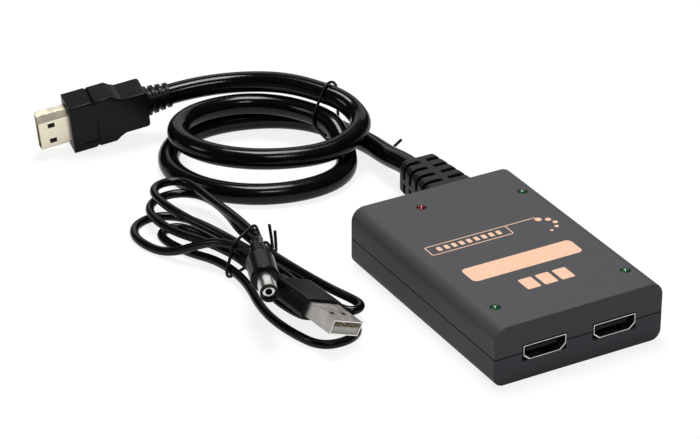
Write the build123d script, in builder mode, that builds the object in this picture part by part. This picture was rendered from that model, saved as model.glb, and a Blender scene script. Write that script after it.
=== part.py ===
from build123d import *
from math import cos, pi, radians, sin, sqrt, tan
import os

# A box that shares one video input between two outputs, with its captive input lead and its
# power lead. The origin is the middle of the case's foot; the two outputs face -Y, the captive
# lead leaves at +Y, and +Z is up. All lengths are in millimetres.

# case
case_width = 58.0
case_length = 84.0
case_height = 19.5
case_wall = 1.8
top_corner_radius = 4.4
bottom_corner_radius = 3.4
end_edge_radius = 0.6
parting_height = case_height * 0.4923
seam_depth = 0.35
seam_height = 0.4
overrun = 1.0

# case screws and their bosses
boss_radius = 2.5
boss_edge_x = 6.6
boss_edge_y = 5.2
screw_diameter = 2.2
screw_play = 0.1
screw_head_diameter = 4.2
screw_head_height = 1.2
screw_head_play = 0.3
screw_sink = 0.3
screw_length = 10.5
screw_slot = 0.6

# output sockets
port_spacing = 24.1
port_drop = 0.45
port_height = parting_height - port_drop
port_width = 14.5
port_depth = 4.9
port_chamfer_across = 1.95
port_chamfer_up = 1.7
port_wall = 0.25
port_length = 11.5
port_proud = 0.15
port_case_gap = 0.35
port_back = 3.0
tongue_width = 10.8
tongue_thickness = 1.2
tongue_set_back = 1.6
socket_contact_width = 0.45
socket_contact_thickness = 0.12
socket_contact_length = 4.5
socket_contact_pitch = 1.0
socket_contact_count = 10

# circuit board
board_thickness = 1.6
board_edge_gap = 0.9
board_end_gap = 0.5
relief_notch_gap = 0.6

# indicator lamps
light_radius = 1.5
light_flange_radius = 1.9
light_flange_height = 0.9
light_length = 5.2
light_proud = 0.6
light_hole_play = 0.12
leg_size = 0.5
leg_spacing = 2.54
power_light_x = -9.8
power_light_edge_y = 9.9
input_light_edge_x = 6.3
input_light_edge_y = 16.3
output_light_1_edge_x = 6.2
output_light_1_edge_y = 11.0
output_light_2_edge_x = 7.0
output_light_2_edge_y = 11.4

# parts on the board
chip_size = 14.0
chip_height = 1.4
chip_place = (0.0, -10.0)
pin_width = 0.4
pin_reach = 1.0
pin_thickness = 0.25
pins_on_side = 16
pin_pitch = 0.8
support_chip_size = (6.0, 4.0, 1.5)
support_chip_places = [(-17.0, -12.0), (15.5, -14.0), (-1.0, 24.0)]
crystal_size = (11.0, 4.6, 3.2)
crystal_place = (-14.0, 4.0)
resistor_size = (1.6, 0.8, 0.5)
resistor_columns = 5
resistor_rows = 3
resistor_spacing = (3.2, 2.4)
resistor_place = (0.0, 10.0)
capacitor_radius = 2.5
capacitor_height = 6.0
capacitor_places = [(-20.0, 16.0), (-20.0, 23.0)]

# power inlet, in the right-hand wall
jack_place = 12.0
jack_width = 9.0
jack_height = 9.0
jack_bore = 5.9
jack_bore_depth = 9.5
jack_back = 1.6
jack_nose_diameter = 7.8
jack_nose_gap = 0.2
jack_seat_gap = 0.3
jack_pin_diameter = 2.0
jack_pin_set_back = 0.8
jack_spring_width = 2.0
jack_spring_thickness = 0.3
jack_spring_channel = 0.5
jack_spring_play = 0.1

# strain relief of the input lead
lead_x = 10.9
lead_height = 9.2
relief_length = 27.6
relief_near_width = 18.6
relief_far_width = 13.4
relief_thickness = 11.6
relief_corner_radius = 2.4
relief_end_radius = 0.9
relief_rows = 4
relief_first_row = 9.6
relief_row_pitch = 4.5
relief_slot_width = 1.6
relief_slot_depth = 2.4
relief_spine = 2.6
relief_side_rib = 1.8
neck_width = 12.0
neck_thickness = 7.6
flange_width = 15.0
flange_thickness = 9.4
flange_length = 1.8
neck_gap = 0.2

# conductors of the input lead, inside the case
conductor_count = 6
conductor_diameter = 0.9
conductor_spacing = 1.7
conductor_reach = 6.0
conductor_bend = 1.4

# input lead
lead_diameter = 7.0
arc_share = 0.45

# tie of the coil
tie_wire = 1.0
tie_tail_share = -0.1
tie_tail_run = 2.2
tie_tail_bend = 1.0
tie_gap = 0.2

# plug of the input lead
plug_width = 13.9
plug_depth = 4.45
plug_wall = 0.3
plug_shell_length = 10.2
plug_chamfer_across = 1.95
plug_chamfer_up = 1.5
plug_insert_set_back = 0.8
plug_slot_width = 11.4
plug_slot_height = 1.5
plug_slot_depth = 7.5
plug_contact_thickness = 0.12
grip_thickness = 9.5
grip_half_width = 9.3
grip_notch_half_width = 8.7
grip_rear_half_width = 9.2
grip_waist_half_width = 7.9
grip_tail_half_width = 7.0
grip_front_length = 7.8
grip_notch_length = 1.3
grip_rear_length = 5.7
grip_shoulder_length = 1.7
grip_waist_length = 1.7
grip_tail_length = 8.6
grip_edge_radius = 1.2
grip_groove_width = 0.5
grip_groove_depth = 0.4
grip_groove_start = 4.2
grip_groove_run = 4.6
grip_groove_offset = 6.3
grip_groove_end = 2.7
latch_hole_width = 1.8
latch_hole_length = 2.4
latch_hole_spacing = 6.2
latch_hole_set_back = 4.2

plug_relief_length = 8.5
plug_relief_near_diameter = 10.0
plug_relief_far_diameter = 8.4
plug_relief_ribs = 4
plug_relief_groove = 0.8

# power lead
wire_diameter = 2.8
usb_width = 12.0
usb_depth = 4.5
usb_shell_length = 11.9
usb_wall = 0.3
usb_insert_thickness = 1.9
usb_insert_set_back = 0.6
usb_contact_width = 1.0
usb_contact_length = 7.5
usb_contact_thickness = 0.12
usb_contact_pitch = 2.3
usb_contact_count = 4
usb_hole_size = 2.2
usb_hole_spacing = 5.2
usb_hole_set_back = 5.4
usb_grip_length = 14.5
usb_grip_width = 14.6
usb_grip_thickness = 6.4
usb_grip_radius = 1.6
usb_tail_length = 5.0
usb_tail_near_diameter = 4.4
usb_tail_far_diameter = 3.8

barrel_diameter = 5.5
barrel_bore = 4.2
barrel_length = 9.5
tip_ring_length = 1.2
inner_contact_diameter = 3.6
inner_contact_bore = 2.1
inner_contact_gap = 0.3
dc_grip_diameter = 8.8
dc_grip_length = 12.5
dc_grip_edge = 0.8
dc_tail_length = 9.0
dc_tail_near_diameter = 6.8
dc_tail_far_diameter = 4.6
dc_tail_ribs = 5
dc_tail_groove = 0.7

# the coil of the input lead: a rising, narrowing spiral of two turns
coil_start_turn = 0.05
coil_end_turn = 2.04
coil_stations = [0.05, 0.25, 0.5, 0.75, 0.87, 0.955, 1.04, 1.25, 1.5, 1.75, 1.92, 2.04]
coil_middle = Vector(-21.0, 113.9)
coil_drift = Vector(4.2, 2.5)
coil_east_half = Vector(27.9, -3.2)
coil_east_change = Vector(-2.4, -0.3)
coil_north_half = Vector(-2.6, 25.8)
coil_north_change = Vector(-5.4, -5.1)
coil_tuck = 3.8
coil_first_tuck = -2.6
coil_tie_lift = 1.4
coil_climbs = [
    (0.88, 1.03, 7.4), (1.03, 1.15, 0.2), (1.40, 1.65, -0.6), (1.74, 1.92, 3.2), (1.92, 2.05, 3.6),
]

# the hank of the power lead: loops drawn in at a waist, in three layers
hank_waist = Vector(-59.43, 54.99)
hank_heading = -66.967
hank_layers = [1.4, 4.8, 8.2]
hank_tie_lift = 1.35
hank_first_lift = 1.6
# side of the waist, layer, start of the bend, its tip, offset of its middle, half its width
hank_loops = [
    (-1, 2, 39.0, 47.0, 14.2, 7.0),
    (1, 1, 42.0, 47.3, -3.6, 3.3),
    (-1, 1, 34.0, 45.3, 11.6, 10.6),
    (1, 0, 27.0, 36.0, -7.2, 4.4),
    (-1, 0, 25.0, 34.0, 2.2, 5.6),
    (1, 0, 33.0, 53.0, -10.8, 10.2),
    (-1, 0, 31.0, 43.5, 2.0, 10.6),
]
# offset across the waist, and layer, of each pass
hank_passes = [(4.4, 2), (2.2, 1), (6.6, 1), (-3.4, 1), (1.9, 0), (-6.0, 0), (6.2, 0), (-3.0, 2)]

# the ties' tails and the free stretches, as routes
coil_tail_route = [Vector(12.6, 106.0, 1.0), Vector(14.4, 97.5, 1.1), Vector(24.0, 102.3, 3.0)]
power_tail_routes = [
    [(0, 8.7, 5.2), (0, 10.8, 5.2), (4.5, 8.8, 5.0), (4.2, 7.5, 14.0)],
    [(0, 8.5, 3.4), (0, 10.8, 3.4), (4.8, 10.2, 3.4), (5.0, 9.2, 11.3)],
]
power_tie_gap = 0.3
power_tail_bend = 1.0

lead_exit_run = 6.7
lead_route_middle = [Vector(10.1, 86.6, 7.6)]
coil_start_run = 16.6
coil_end_run = 15.7
plug_route_middle = [Vector(-14.66, 142.19, 16.93)]
plug_exit_run = 8.7
plug_tail_place = Vector(-38.27, 149.14, 14.65)
plug_heading = (-0.979, 0.151, -0.135)
plug_across = (-0.158, -0.152, 0.976)

usb_tail_place = Vector(-60.95, 28.1, 10.35)
usb_heading = (0.167, -0.983, -0.081)
usb_across = (0.891, 0.186, -0.414)
usb_exit_run = 5.8
usb_route_middle = [Vector(-58.67, 41.72, 10.0)]
usb_waist_run = 5.8

dc_tail_place = Vector(-62.87, 39.85, 15.96)
dc_heading = (-0.35, -0.935, 0.053)
dc_exit_run = 5.2
dc_route_middle = [Vector(-56.63, 49.83, 12.12)]
dc_waist_run = 3.6

# values worked out from the sizes above
half_width = case_width / 2
half_length = case_length / 2
floor_height = case_wall
ceiling_height = case_height - case_wall
board_top = port_height - port_depth / 2
board_bottom = board_top - board_thickness
screw_x = half_width - boss_edge_x
screw_y = half_length - boss_edge_y
screw_places = [(x, y) for x in (-screw_x, screw_x) for y in (-screw_y, screw_y)]
head_bottom = screw_sink
head_top = head_bottom + screw_head_height
jack_z = board_top + jack_height / 2
relief_end = half_length + relief_length
light_base = case_height + light_proud - light_length
light_places = [
    (power_light_x, half_length - power_light_edge_y),
    (half_width - input_light_edge_x, half_length - input_light_edge_y),
    (half_width - output_light_1_edge_x, output_light_1_edge_y - half_length),
    (output_light_2_edge_x - half_width, output_light_2_edge_y - half_length),
]


# shared shapes
def draw_case_section(inset):
    """Draw the case's rounded section, drawn in by the inset, in the open sketch."""
    low = inset
    high = case_height - inset
    with Locations((0, (low + high) / 2)):
        Rectangle(case_width - 2 * inset, high - low)
    fillet(vertices().group_by(Axis.Y)[-1], radius=top_corner_radius - inset)
    fillet(vertices().group_by(Axis.Y)[0], radius=bottom_corner_radius - inset)


def draw_port(width, depth, across, up, inset=0, mode=Mode.ADD):
    """Draw the outline shared by sockets and plug, wide side up, drawn in by the inset."""
    half = width / 2 - inset
    side = depth / 2 - inset
    foot = half - across
    shoulder = up - side
    Polygon((-half, side), (-half, shoulder), (-foot, -side), (foot, -side), (half, shoulder), (half, side),
            align=None, mode=mode)


def frame_at(origin, heading, across):
    """Plane with +Z along the heading and +X across it, made square."""
    ahead = Vector(*heading).normalized()
    side = ahead.cross(Vector(*across)).normalized()
    return Plane(origin=origin, x_dir=side.cross(ahead), z_dir=ahead)


def side_plane(frame, shift=0):
    """Plane that holds the frame's heading as +X and its across direction as +Y."""
    normal = frame.z_dir.cross(frame.x_dir)
    return Plane(origin=frame.origin + normal * shift, x_dir=frame.z_dir, z_dir=normal)


def ribbed_outline(front, length, near_radius, far_radius, ribs, groove):
    """Points of a tapering, ribbed half profile that ends in a rib at both ends."""
    steps = 2 * ribs - 1
    points = [(front, 0)]
    for index in range(steps):
        radius = near_radius + (far_radius - near_radius) * index / (steps - 1)
        drop = groove if index % 2 else 0
        points.append((front - length * index / steps, radius - drop))
        points.append((front - length * (index + 1) / steps, radius - drop))
    points.append((front - length, 0))
    return points


def biarc_middle(start, start_way, end, end_way):
    """Point where two tangent arcs from one station to the next meet."""
    gap = end - start
    ways = start_way + end_way
    spread = 2 * (1 - start_way.dot(end_way))
    along = gap.dot(ways)
    if spread < 1e-9:
        reach = gap.dot(gap) / (4 * gap.dot(end_way))
    else:
        reach = (sqrt(along * along + spread * gap.dot(gap)) - along) / spread
    return (start + end + (start_way - end_way) * reach) * 0.5


def draw_arcs(stations):
    """Draw one unbroken line of tangent arcs through the stations, in the open line."""
    for (start, start_way), (end, end_way) in zip(stations, stations[1:]):
        middle = biarc_middle(start, start_way, end, end_way)
        first = TangentArc(start, middle, tangent=start_way)
        TangentArc(middle, end, tangent=first % 1)


def start_plane(path):
    """Plane square to the start of a drawn line."""
    wire = path.wires()[0]
    return Plane(origin=wire @ 0, z_dir=wire % 0)


def arc_radii(route):
    """Radius of the arc at each inner point of a route: as large as its two runs allow."""
    radii = []
    for before, corner, after in zip(route, route[1:], route[2:]):
        run_in = corner - before
        run_out = after - corner
        half_turn = radians(run_in.get_angle(run_out)) / 2
        radii.append(arc_share * min(run_in.length, run_out.length) / tan(half_turn))
    return radii


def report_stretch(name, route, part, diameter):
    """Print a free stretch's radii, and its volume against its section times its length."""
    radii = ", ".join(f"{radius:.1f}" for radius in arc_radii(route))
    with BuildLine() as line:
        FilletPolyline(*route, radius=arc_radii(route))
    length = line.wires()[0].length
    ratio = part.volume / (pi * diameter ** 2 / 4 * length)
    print(f"{name}: length {length:.1f}, radii {radii}, volume ratio {ratio:.4f}")


def report_winding(name, path, diameter):
    """Print a winding's length and the least gap of the tube to itself, measured on points."""
    step = diameter / 4
    points = []
    run = 0
    for edge in path.wires()[0].edges():
        count = max(2, round(edge.length / step))
        for index in range(count):
            spot = edge.position_at(index / count)
            points.append((run + edge.length * index / count, spot.X, spot.Y, spot.Z))
        run += edge.length
    least = min(
        sqrt((a[1] - b[1]) ** 2 + (a[2] - b[2]) ** 2 + (a[3] - b[3]) ** 2)
        for index, a in enumerate(points)
        for b in points[index + 1:]
        if b[0] - a[0] > 3 * diameter
    )
    print(f"{name}: length {run:.1f}, least gap {least - diameter:.2f}")


# case
with BuildPart() as top_case:
    with BuildSketch(Plane.XZ.offset(-half_length)):
        draw_case_section(0)
        with Locations((0, (parting_height + case_height) / 2)):
            Rectangle(case_width, case_height - parting_height, mode=Mode.INTERSECT)
    extrude(amount=case_length)
    end_faces = top_case.faces().group_by(Axis.Y)
    rim = end_faces[0].edges() + end_faces[-1].edges()
    fillet(rim.filter_by(lambda edge: edge.center().Z > parting_height + overrun / 2), radius=end_edge_radius)
    with BuildSketch(Plane.XZ.offset(-half_length + case_wall)):
        draw_case_section(case_wall)
    extrude(amount=case_length - 2 * case_wall, mode=Mode.SUBTRACT)
    with BuildSketch(Plane.XY.offset(board_top)):
        with Locations(*screw_places):
            Circle(boss_radius)
    extrude(amount=ceiling_height - board_top)
    with BuildSketch(Plane.XY.offset(board_top)):
        with Locations(*screw_places):
            Circle(screw_diameter / 2 + screw_play)
    extrude(amount=head_top + screw_length - board_top, mode=Mode.SUBTRACT)
    with BuildSketch(Plane.XY.offset(case_height)):
        with Locations(*light_places):
            Circle(light_radius + light_hole_play)
    extrude(amount=-2 * case_wall, mode=Mode.SUBTRACT)
    with BuildSketch(Plane.XZ.offset(half_length + overrun)):
        with Locations((-port_spacing / 2, port_height), (port_spacing / 2, port_height)):
            Rectangle(port_width + 2 * port_case_gap, port_depth + 2 * port_case_gap)
    extrude(amount=-case_wall - 2 * overrun, mode=Mode.SUBTRACT)
    with BuildSketch(Plane.XZ.offset(-half_length - overrun)):
        with Locations((lead_x, lead_height)):
            Rectangle(neck_width + 2 * neck_gap, neck_thickness + 2 * neck_gap)
    extrude(amount=case_wall + 2 * overrun, mode=Mode.SUBTRACT)
    with BuildSketch(Plane.YZ.offset(half_width + overrun)):
        with Locations((jack_place, jack_z)):
            Circle(jack_nose_diameter / 2 + jack_nose_gap)
    extrude(amount=-case_wall - 2 * overrun, mode=Mode.SUBTRACT)
top_case.part.label = "top_case"

with BuildPart() as bottom_case:
    with BuildSketch(Plane.XZ.offset(-half_length)):
        draw_case_section(0)
        with Locations((0, parting_height / 2)):
            Rectangle(case_width, parting_height, mode=Mode.INTERSECT)
    extrude(amount=case_length)
    end_faces = bottom_case.faces().group_by(Axis.Y)
    rim = end_faces[0].edges() + end_faces[-1].edges()
    fillet(rim.filter_by(lambda edge: edge.center().Z < parting_height - overrun / 2), radius=end_edge_radius)
    with BuildSketch(Plane.XZ.offset(-half_length + case_wall)):
        draw_case_section(case_wall)
    extrude(amount=case_length - 2 * case_wall, mode=Mode.SUBTRACT)
    with BuildSketch(Plane.XY.offset(floor_height)):
        with Locations(*screw_places):
            Circle(boss_radius)
    extrude(amount=board_bottom - floor_height)
    with BuildSketch():
        with Locations(*screw_places):
            Circle(screw_head_diameter / 2 + screw_head_play)
    extrude(amount=head_top, mode=Mode.SUBTRACT)
    with BuildSketch():
        with Locations(*screw_places):
            Circle(screw_diameter / 2 + screw_play)
    extrude(amount=board_bottom, mode=Mode.SUBTRACT)
    with BuildSketch(Plane.XY.offset(parting_height)):
        Rectangle(case_width + 2 * overrun, case_length + 2 * overrun)
        Rectangle(case_width - 2 * seam_depth, case_length - 2 * seam_depth, mode=Mode.SUBTRACT)
    extrude(amount=-seam_height, mode=Mode.SUBTRACT)
    with BuildSketch(Plane.XZ.offset(half_length + overrun)):
        with Locations((-port_spacing / 2, port_height), (port_spacing / 2, port_height)):
            Rectangle(port_width + 2 * port_case_gap, port_depth + 2 * port_case_gap)
    extrude(amount=-case_wall - 2 * overrun, mode=Mode.SUBTRACT)
    with BuildSketch(Plane.XZ.offset(-half_length - overrun)):
        with Locations((lead_x, lead_height)):
            Rectangle(neck_width + 2 * neck_gap, neck_thickness + 2 * neck_gap)
    extrude(amount=case_wall + 2 * overrun, mode=Mode.SUBTRACT)
    with BuildSketch(Plane.YZ.offset(half_width + overrun)):
        with Locations((jack_place, jack_z)):
            Circle(jack_nose_diameter / 2 + jack_nose_gap)
    extrude(amount=-case_wall - 2 * overrun, mode=Mode.SUBTRACT)
bottom_case.part.label = "bottom_case"

with BuildPart() as case_screws:
    with BuildSketch(Plane.XY.offset(head_bottom)):
        with Locations(*screw_places):
            Circle(screw_head_diameter / 2)
    extrude(amount=screw_head_height)
    with BuildSketch(Plane.XY.offset(head_top)):
        with Locations(*screw_places):
            Circle(screw_diameter / 2)
    extrude(amount=screw_length)
    with BuildSketch(Plane.XY.offset(head_bottom)):
        with Locations(*screw_places):
            Rectangle(screw_head_diameter + overrun, screw_slot)
            Rectangle(screw_slot, screw_head_diameter + overrun)
    extrude(amount=screw_head_height / 2, mode=Mode.SUBTRACT)
case_screws.part.label = "case_screws"

# indicator lamps: a flange, a round body and a dome, each in its hole in the top
lamps = {}
for lamp_name, (lamp_x, lamp_y) in zip(
    ["power_light", "input_light", "output_light_1", "output_light_2"], light_places
):
    with BuildPart() as lamp:
        with BuildSketch(Plane(origin=(lamp_x, lamp_y, light_base), x_dir=(1, 0, 0), z_dir=(0, -1, 0))):
            with BuildLine():
                Polyline(
                    (0, light_length),
                    (0, 0),
                    (light_flange_radius, 0),
                    (light_flange_radius, light_flange_height),
                    (light_radius, light_flange_height),
                    (light_radius, light_length - light_radius),
                )
                CenterArc((0, light_length - light_radius), light_radius, 0, 90)
            make_face()
        revolve(axis=Axis((lamp_x, lamp_y, 0), (0, 0, 1)))
    lamp.part.label = lamp_name
    lamps[lamp_name] = lamp.part

with BuildPart() as light_legs:
    with BuildSketch(Plane.XY.offset(board_top)):
        with Locations(*light_places):
            with Locations((-leg_spacing / 2, 0), (leg_spacing / 2, 0)):
                Rectangle(leg_size, leg_size)
    extrude(amount=light_base - board_top)
light_legs.part.label = "light_legs"

# circuit board and what it carries
board_half_width = half_width - case_wall - board_edge_gap
board_half_length = half_length - case_wall - board_end_gap
flange_inner_end = half_length - case_wall - flange_length
with BuildPart() as circuit_board:
    with BuildSketch(Plane.XY.offset(board_bottom)):
        Rectangle(2 * board_half_width, 2 * board_half_length)
        with Locations(*screw_places):
            Circle(screw_diameter / 2 + screw_play, mode=Mode.SUBTRACT)
        with Locations((lead_x, board_half_length)):
            Rectangle(
                flange_width + 2 * relief_notch_gap,
                2 * (board_half_length - flange_inner_end + relief_notch_gap),
                mode=Mode.SUBTRACT,
            )
    extrude(amount=board_thickness)
circuit_board.part.label = "circuit_board"

chip_pin_line = chip_size / 2 + pin_reach / 2
with BuildPart() as splitter_chip:
    with BuildSketch(Plane.XY.offset(board_top + pin_thickness)):
        with Locations(chip_place):
            Rectangle(chip_size, chip_size)
    extrude(amount=chip_height)
    with BuildSketch(Plane.XY.offset(board_top)):
        with Locations(chip_place):
            for side in (-1, 1):
                with Locations((side * chip_pin_line, 0)):
                    with GridLocations(0, pin_pitch, 1, pins_on_side):
                        Rectangle(2 * pin_reach, pin_width)
                with Locations((0, side * chip_pin_line)):
                    with GridLocations(pin_pitch, 0, pins_on_side, 1):
                        Rectangle(pin_width, 2 * pin_reach)
    extrude(amount=pin_thickness)
splitter_chip.part.label = "splitter_chip"

support_width, support_length, support_height = support_chip_size
with BuildPart() as support_chips:
    with BuildSketch(Plane.XY.offset(board_top)):
        with Locations(*support_chip_places):
            Rectangle(support_width, support_length)
    extrude(amount=support_height)
support_chips.part.label = "support_chips"

with BuildPart() as crystal:
    with BuildSketch(Plane.XY.offset(board_top)):
        with Locations(crystal_place):
            SlotOverall(crystal_size[0], crystal_size[1])
    extrude(amount=crystal_size[2])
    fillet(crystal.faces().sort_by(Axis.Z)[-1].edges(), radius=crystal_size[1] / 8)
crystal.part.label = "crystal"

with BuildPart() as chip_resistors:
    with BuildSketch(Plane.XY.offset(board_top)):
        with Locations(resistor_place):
            with GridLocations(*resistor_spacing, resistor_columns, resistor_rows):
                Rectangle(resistor_size[0], resistor_size[1])
    extrude(amount=resistor_size[2])
chip_resistors.part.label = "chip_resistors"

with BuildPart() as capacitors:
    with BuildSketch(Plane.XY.offset(board_top)):
        with Locations(*capacitor_places):
            Circle(capacitor_radius)
    extrude(amount=capacitor_height)
    fillet(capacitors.faces().group_by(Axis.Z)[-1].edges(), radius=capacitor_radius / 8)
capacitors.part.label = "capacitors"

# output sockets: shell, tongue and two rows of contacts, at the front edge of the board
port_front = half_length + port_proud
tongue_front = port_front - tongue_set_back
tongue_root = port_front - port_length + port_wall
contact_rows = [
    (tongue_thickness / 2 + socket_contact_thickness / 2, socket_contact_count),
    (-tongue_thickness / 2 - socket_contact_thickness / 2, socket_contact_count - 1),
]
socket_parts = {}
for number, port_x in ((1, -port_spacing / 2), (2, port_spacing / 2)):
    with BuildPart() as socket_shell:
        with BuildSketch(Plane.XZ.offset(port_front)):
            with Locations((port_x, port_height)):
                draw_port(port_width, port_depth, port_chamfer_across, port_chamfer_up)
        extrude(amount=-port_length)
        with BuildSketch(Plane.XZ.offset(port_front)):
            with Locations((port_x, port_height)):
                draw_port(port_width, port_depth, port_chamfer_across, port_chamfer_up, port_wall)
        extrude(amount=-port_length + port_wall, mode=Mode.SUBTRACT)
    socket_parts[f"output_socket_shell_{number}"] = socket_shell.part

    with BuildPart() as socket_tongue:
        with BuildSketch(Plane.XZ.offset(tongue_root + port_back)):
            with Locations((port_x, port_height)):
                draw_port(port_width, port_depth, port_chamfer_across, port_chamfer_up, port_wall)
        extrude(amount=-port_back)
        with BuildSketch(Plane.XZ.offset(tongue_front)):
            with Locations((port_x, port_height)):
                Rectangle(tongue_width, tongue_thickness)
        extrude(amount=tongue_root + port_back - tongue_front)
    socket_parts[f"output_socket_tongue_{number}"] = socket_tongue.part

    with BuildPart() as socket_contacts:
        with BuildSketch(Plane.XZ.offset(tongue_root + port_back)):
            for row_height, row_count in contact_rows:
                with Locations((port_x, port_height + row_height)):
                    with GridLocations(socket_contact_pitch, 0, row_count, 1):
                        Rectangle(socket_contact_width, socket_contact_thickness)
        extrude(amount=socket_contact_length)
    socket_parts[f"output_socket_contacts_{number}"] = socket_contacts.part
for socket_name, socket_part in socket_parts.items():
    socket_part.label = socket_name

# power inlet
jack_front = half_width
jack_shoulder = half_width - case_wall - jack_seat_gap
jack_rear = jack_front - jack_bore_depth - jack_back
spring_seat = jack_z - jack_bore / 2 - jack_spring_channel
with BuildPart() as dc_jack_body:
    with BuildSketch(Plane.YZ.offset(jack_rear)):
        with Locations((jack_place, jack_z)):
            Rectangle(jack_width, jack_height)
    extrude(amount=jack_shoulder - jack_rear)
    with BuildSketch(Plane.YZ.offset(jack_shoulder)):
        with Locations((jack_place, jack_z)):
            Circle(jack_nose_diameter / 2)
    extrude(amount=jack_front - jack_shoulder)
    with BuildSketch(Plane.YZ.offset(jack_front)):
        with Locations((jack_place, jack_z)):
            Circle(jack_bore / 2)
    extrude(amount=-jack_bore_depth, mode=Mode.SUBTRACT)
    with BuildSketch(Plane.YZ.offset(jack_front - case_wall)):
        with Locations((jack_place, (spring_seat + jack_z) / 2)):
            Rectangle(jack_spring_width + 2 * jack_spring_play, jack_z - spring_seat)
    extrude(amount=-jack_bore_depth + case_wall, mode=Mode.SUBTRACT)
dc_jack_body.part.label = "dc_jack_body"

with BuildPart() as dc_jack_pin:
    with BuildSketch(Plane.YZ.offset(jack_front - jack_bore_depth)):
        with Locations((jack_place, jack_z)):
            Circle(jack_pin_diameter / 2)
    extrude(amount=jack_bore_depth - jack_pin_set_back)
    fillet(dc_jack_pin.faces().sort_by(Axis.X)[-1].edges(), radius=jack_pin_diameter / 3)
dc_jack_pin.part.label = "dc_jack_pin"

with BuildPart() as dc_jack_spring:
    with BuildSketch(Plane.YZ.offset(jack_front - jack_bore_depth)):
        with Locations((jack_place, spring_seat + jack_spring_thickness / 2)):
            Rectangle(jack_spring_width, jack_spring_thickness)
    extrude(amount=jack_bore_depth - case_wall - jack_spring_play)
dc_jack_spring.part.label = "dc_jack_spring"

# strain relief: a tapering block with slots, a neck through the wall, a flange inside
with BuildPart() as strain_relief:
    with BuildSketch(Plane.XZ.offset(-half_length)):
        with Locations((lead_x, lead_height)):
            RectangleRounded(relief_near_width, relief_thickness, relief_corner_radius)
    with BuildSketch(Plane.XZ.offset(-relief_end)):
        with Locations((lead_x, lead_height)):
            RectangleRounded(relief_far_width, relief_thickness, relief_corner_radius)
    loft()
    fillet(strain_relief.faces().sort_by(Axis.Y)[-1].edges(), radius=relief_end_radius)
    for row in range(relief_rows):
        row_start = relief_first_row + row * relief_row_pitch
        taper = (row_start + relief_slot_width / 2) / relief_length
        row_width = relief_near_width + (relief_far_width - relief_near_width) * taper
        with BuildSketch(Plane.XZ.offset(-half_length - row_start)):
            with Locations((lead_x, lead_height)):
                Rectangle(relief_near_width + overrun, relief_thickness + overrun)
                Rectangle(row_width - 2 * relief_slot_depth, relief_thickness - 2 * relief_slot_depth,
                          mode=Mode.SUBTRACT)
                Rectangle(relief_spine, relief_thickness + 2 * overrun, mode=Mode.SUBTRACT)
                Rectangle(relief_near_width + 2 * overrun, relief_side_rib, mode=Mode.SUBTRACT)
        extrude(amount=-relief_slot_width, mode=Mode.SUBTRACT)
    with BuildSketch(Plane.XZ.offset(-half_length)):
        with Locations((lead_x, lead_height)):
            Rectangle(neck_width, neck_thickness)
    extrude(amount=case_wall)
    with BuildSketch(Plane.XZ.offset(-half_length + case_wall)):
        with Locations((lead_x, lead_height)):
            Rectangle(flange_width, flange_thickness)
    extrude(amount=flange_length)
strain_relief.part.label = "strain_relief"

conductor_drop = flange_inner_end - conductor_reach
conductor_first = lead_x - conductor_spacing * (conductor_count - 1) / 2
with BuildPart() as lead_conductors:
    for index in range(conductor_count):
        wire_x = conductor_first + index * conductor_spacing
        with BuildLine() as conductor_line:
            FilletPolyline(
                (wire_x, flange_inner_end, lead_height),
                (wire_x, conductor_drop, lead_height),
                (wire_x, conductor_drop, board_top),
                radius=conductor_bend,
            )
        with BuildSketch(start_plane(conductor_line)):
            Circle(conductor_diameter / 2)
        sweep(path=conductor_line.wires()[0])
lead_conductors.part.label = "lead_conductors"


# coil of the input lead
def ease(turn, start, end):
    """Smooth step from 0 at the start turn to 1 at the end turn."""
    step = min(max((turn - start) / (end - start), 0), 1)
    return step * step * (3 - 2 * step)


def coil_point(turn):
    """Middle of the lead in the coil: zero turns is at +X, and turns run from +X to +Y."""
    angle = 2 * pi * turn
    change = turn - 1
    east = coil_east_half + coil_east_change * change
    north = coil_north_half + coil_north_change * change
    tuck = coil_tuck * (ease(turn, 0.80, 0.97) - ease(turn, 1.04, 1.22))
    tuck += coil_first_tuck * (1 - ease(turn, 0, 0.22))
    flat = coil_middle + coil_drift * change + east * cos(angle) + north * sin(angle)
    flat -= Vector(cos(angle), sin(angle)) * tuck
    height = lead_diameter / 2 + coil_tie_lift * (1 - ease(turn, 0, 0.25))
    height += sum(climb * ease(turn, start, end) for start, end, climb in coil_climbs)
    return Vector(flat.X, flat.Y, height)


def coil_way(turn):
    """Direction of the lead in the coil, by a small step either way."""
    step = 1e-4
    return (coil_point(turn + step) - coil_point(turn - step)).normalized()


coil_start = coil_point(coil_start_turn)
coil_start_way = coil_way(coil_start_turn)
coil_end = coil_point(coil_end_turn)
coil_end_way = coil_way(coil_end_turn)
with BuildPart() as input_lead_coil:
    with BuildLine() as coil_line:
        draw_arcs([(coil_point(turn), coil_way(turn)) for turn in coil_stations])
    with BuildSketch(start_plane(coil_line)):
        Circle(lead_diameter / 2)
    sweep(path=coil_line.wires()[0])
input_lead_coil.part.label = "input_lead_coil"
report_winding("input_lead_coil", coil_line, lead_diameter)

# free stretches of the input lead
lead_exit = Vector(lead_x, relief_end, lead_height)
input_start_route = [lead_exit, lead_exit + Vector(0, lead_exit_run, 0)] + lead_route_middle
input_start_route += [coil_start - coil_start_way * coil_start_run, coil_start]
with BuildPart() as input_lead_start:
    with BuildLine() as input_start_line:
        FilletPolyline(*input_start_route, radius=arc_radii(input_start_route))
    with BuildSketch(start_plane(input_start_line)):
        Circle(lead_diameter / 2)
    sweep(path=input_start_line.wires()[0])
input_lead_start.part.label = "input_lead_start"
report_stretch("input_lead_start", input_start_route, input_lead_start.part, lead_diameter)

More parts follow.
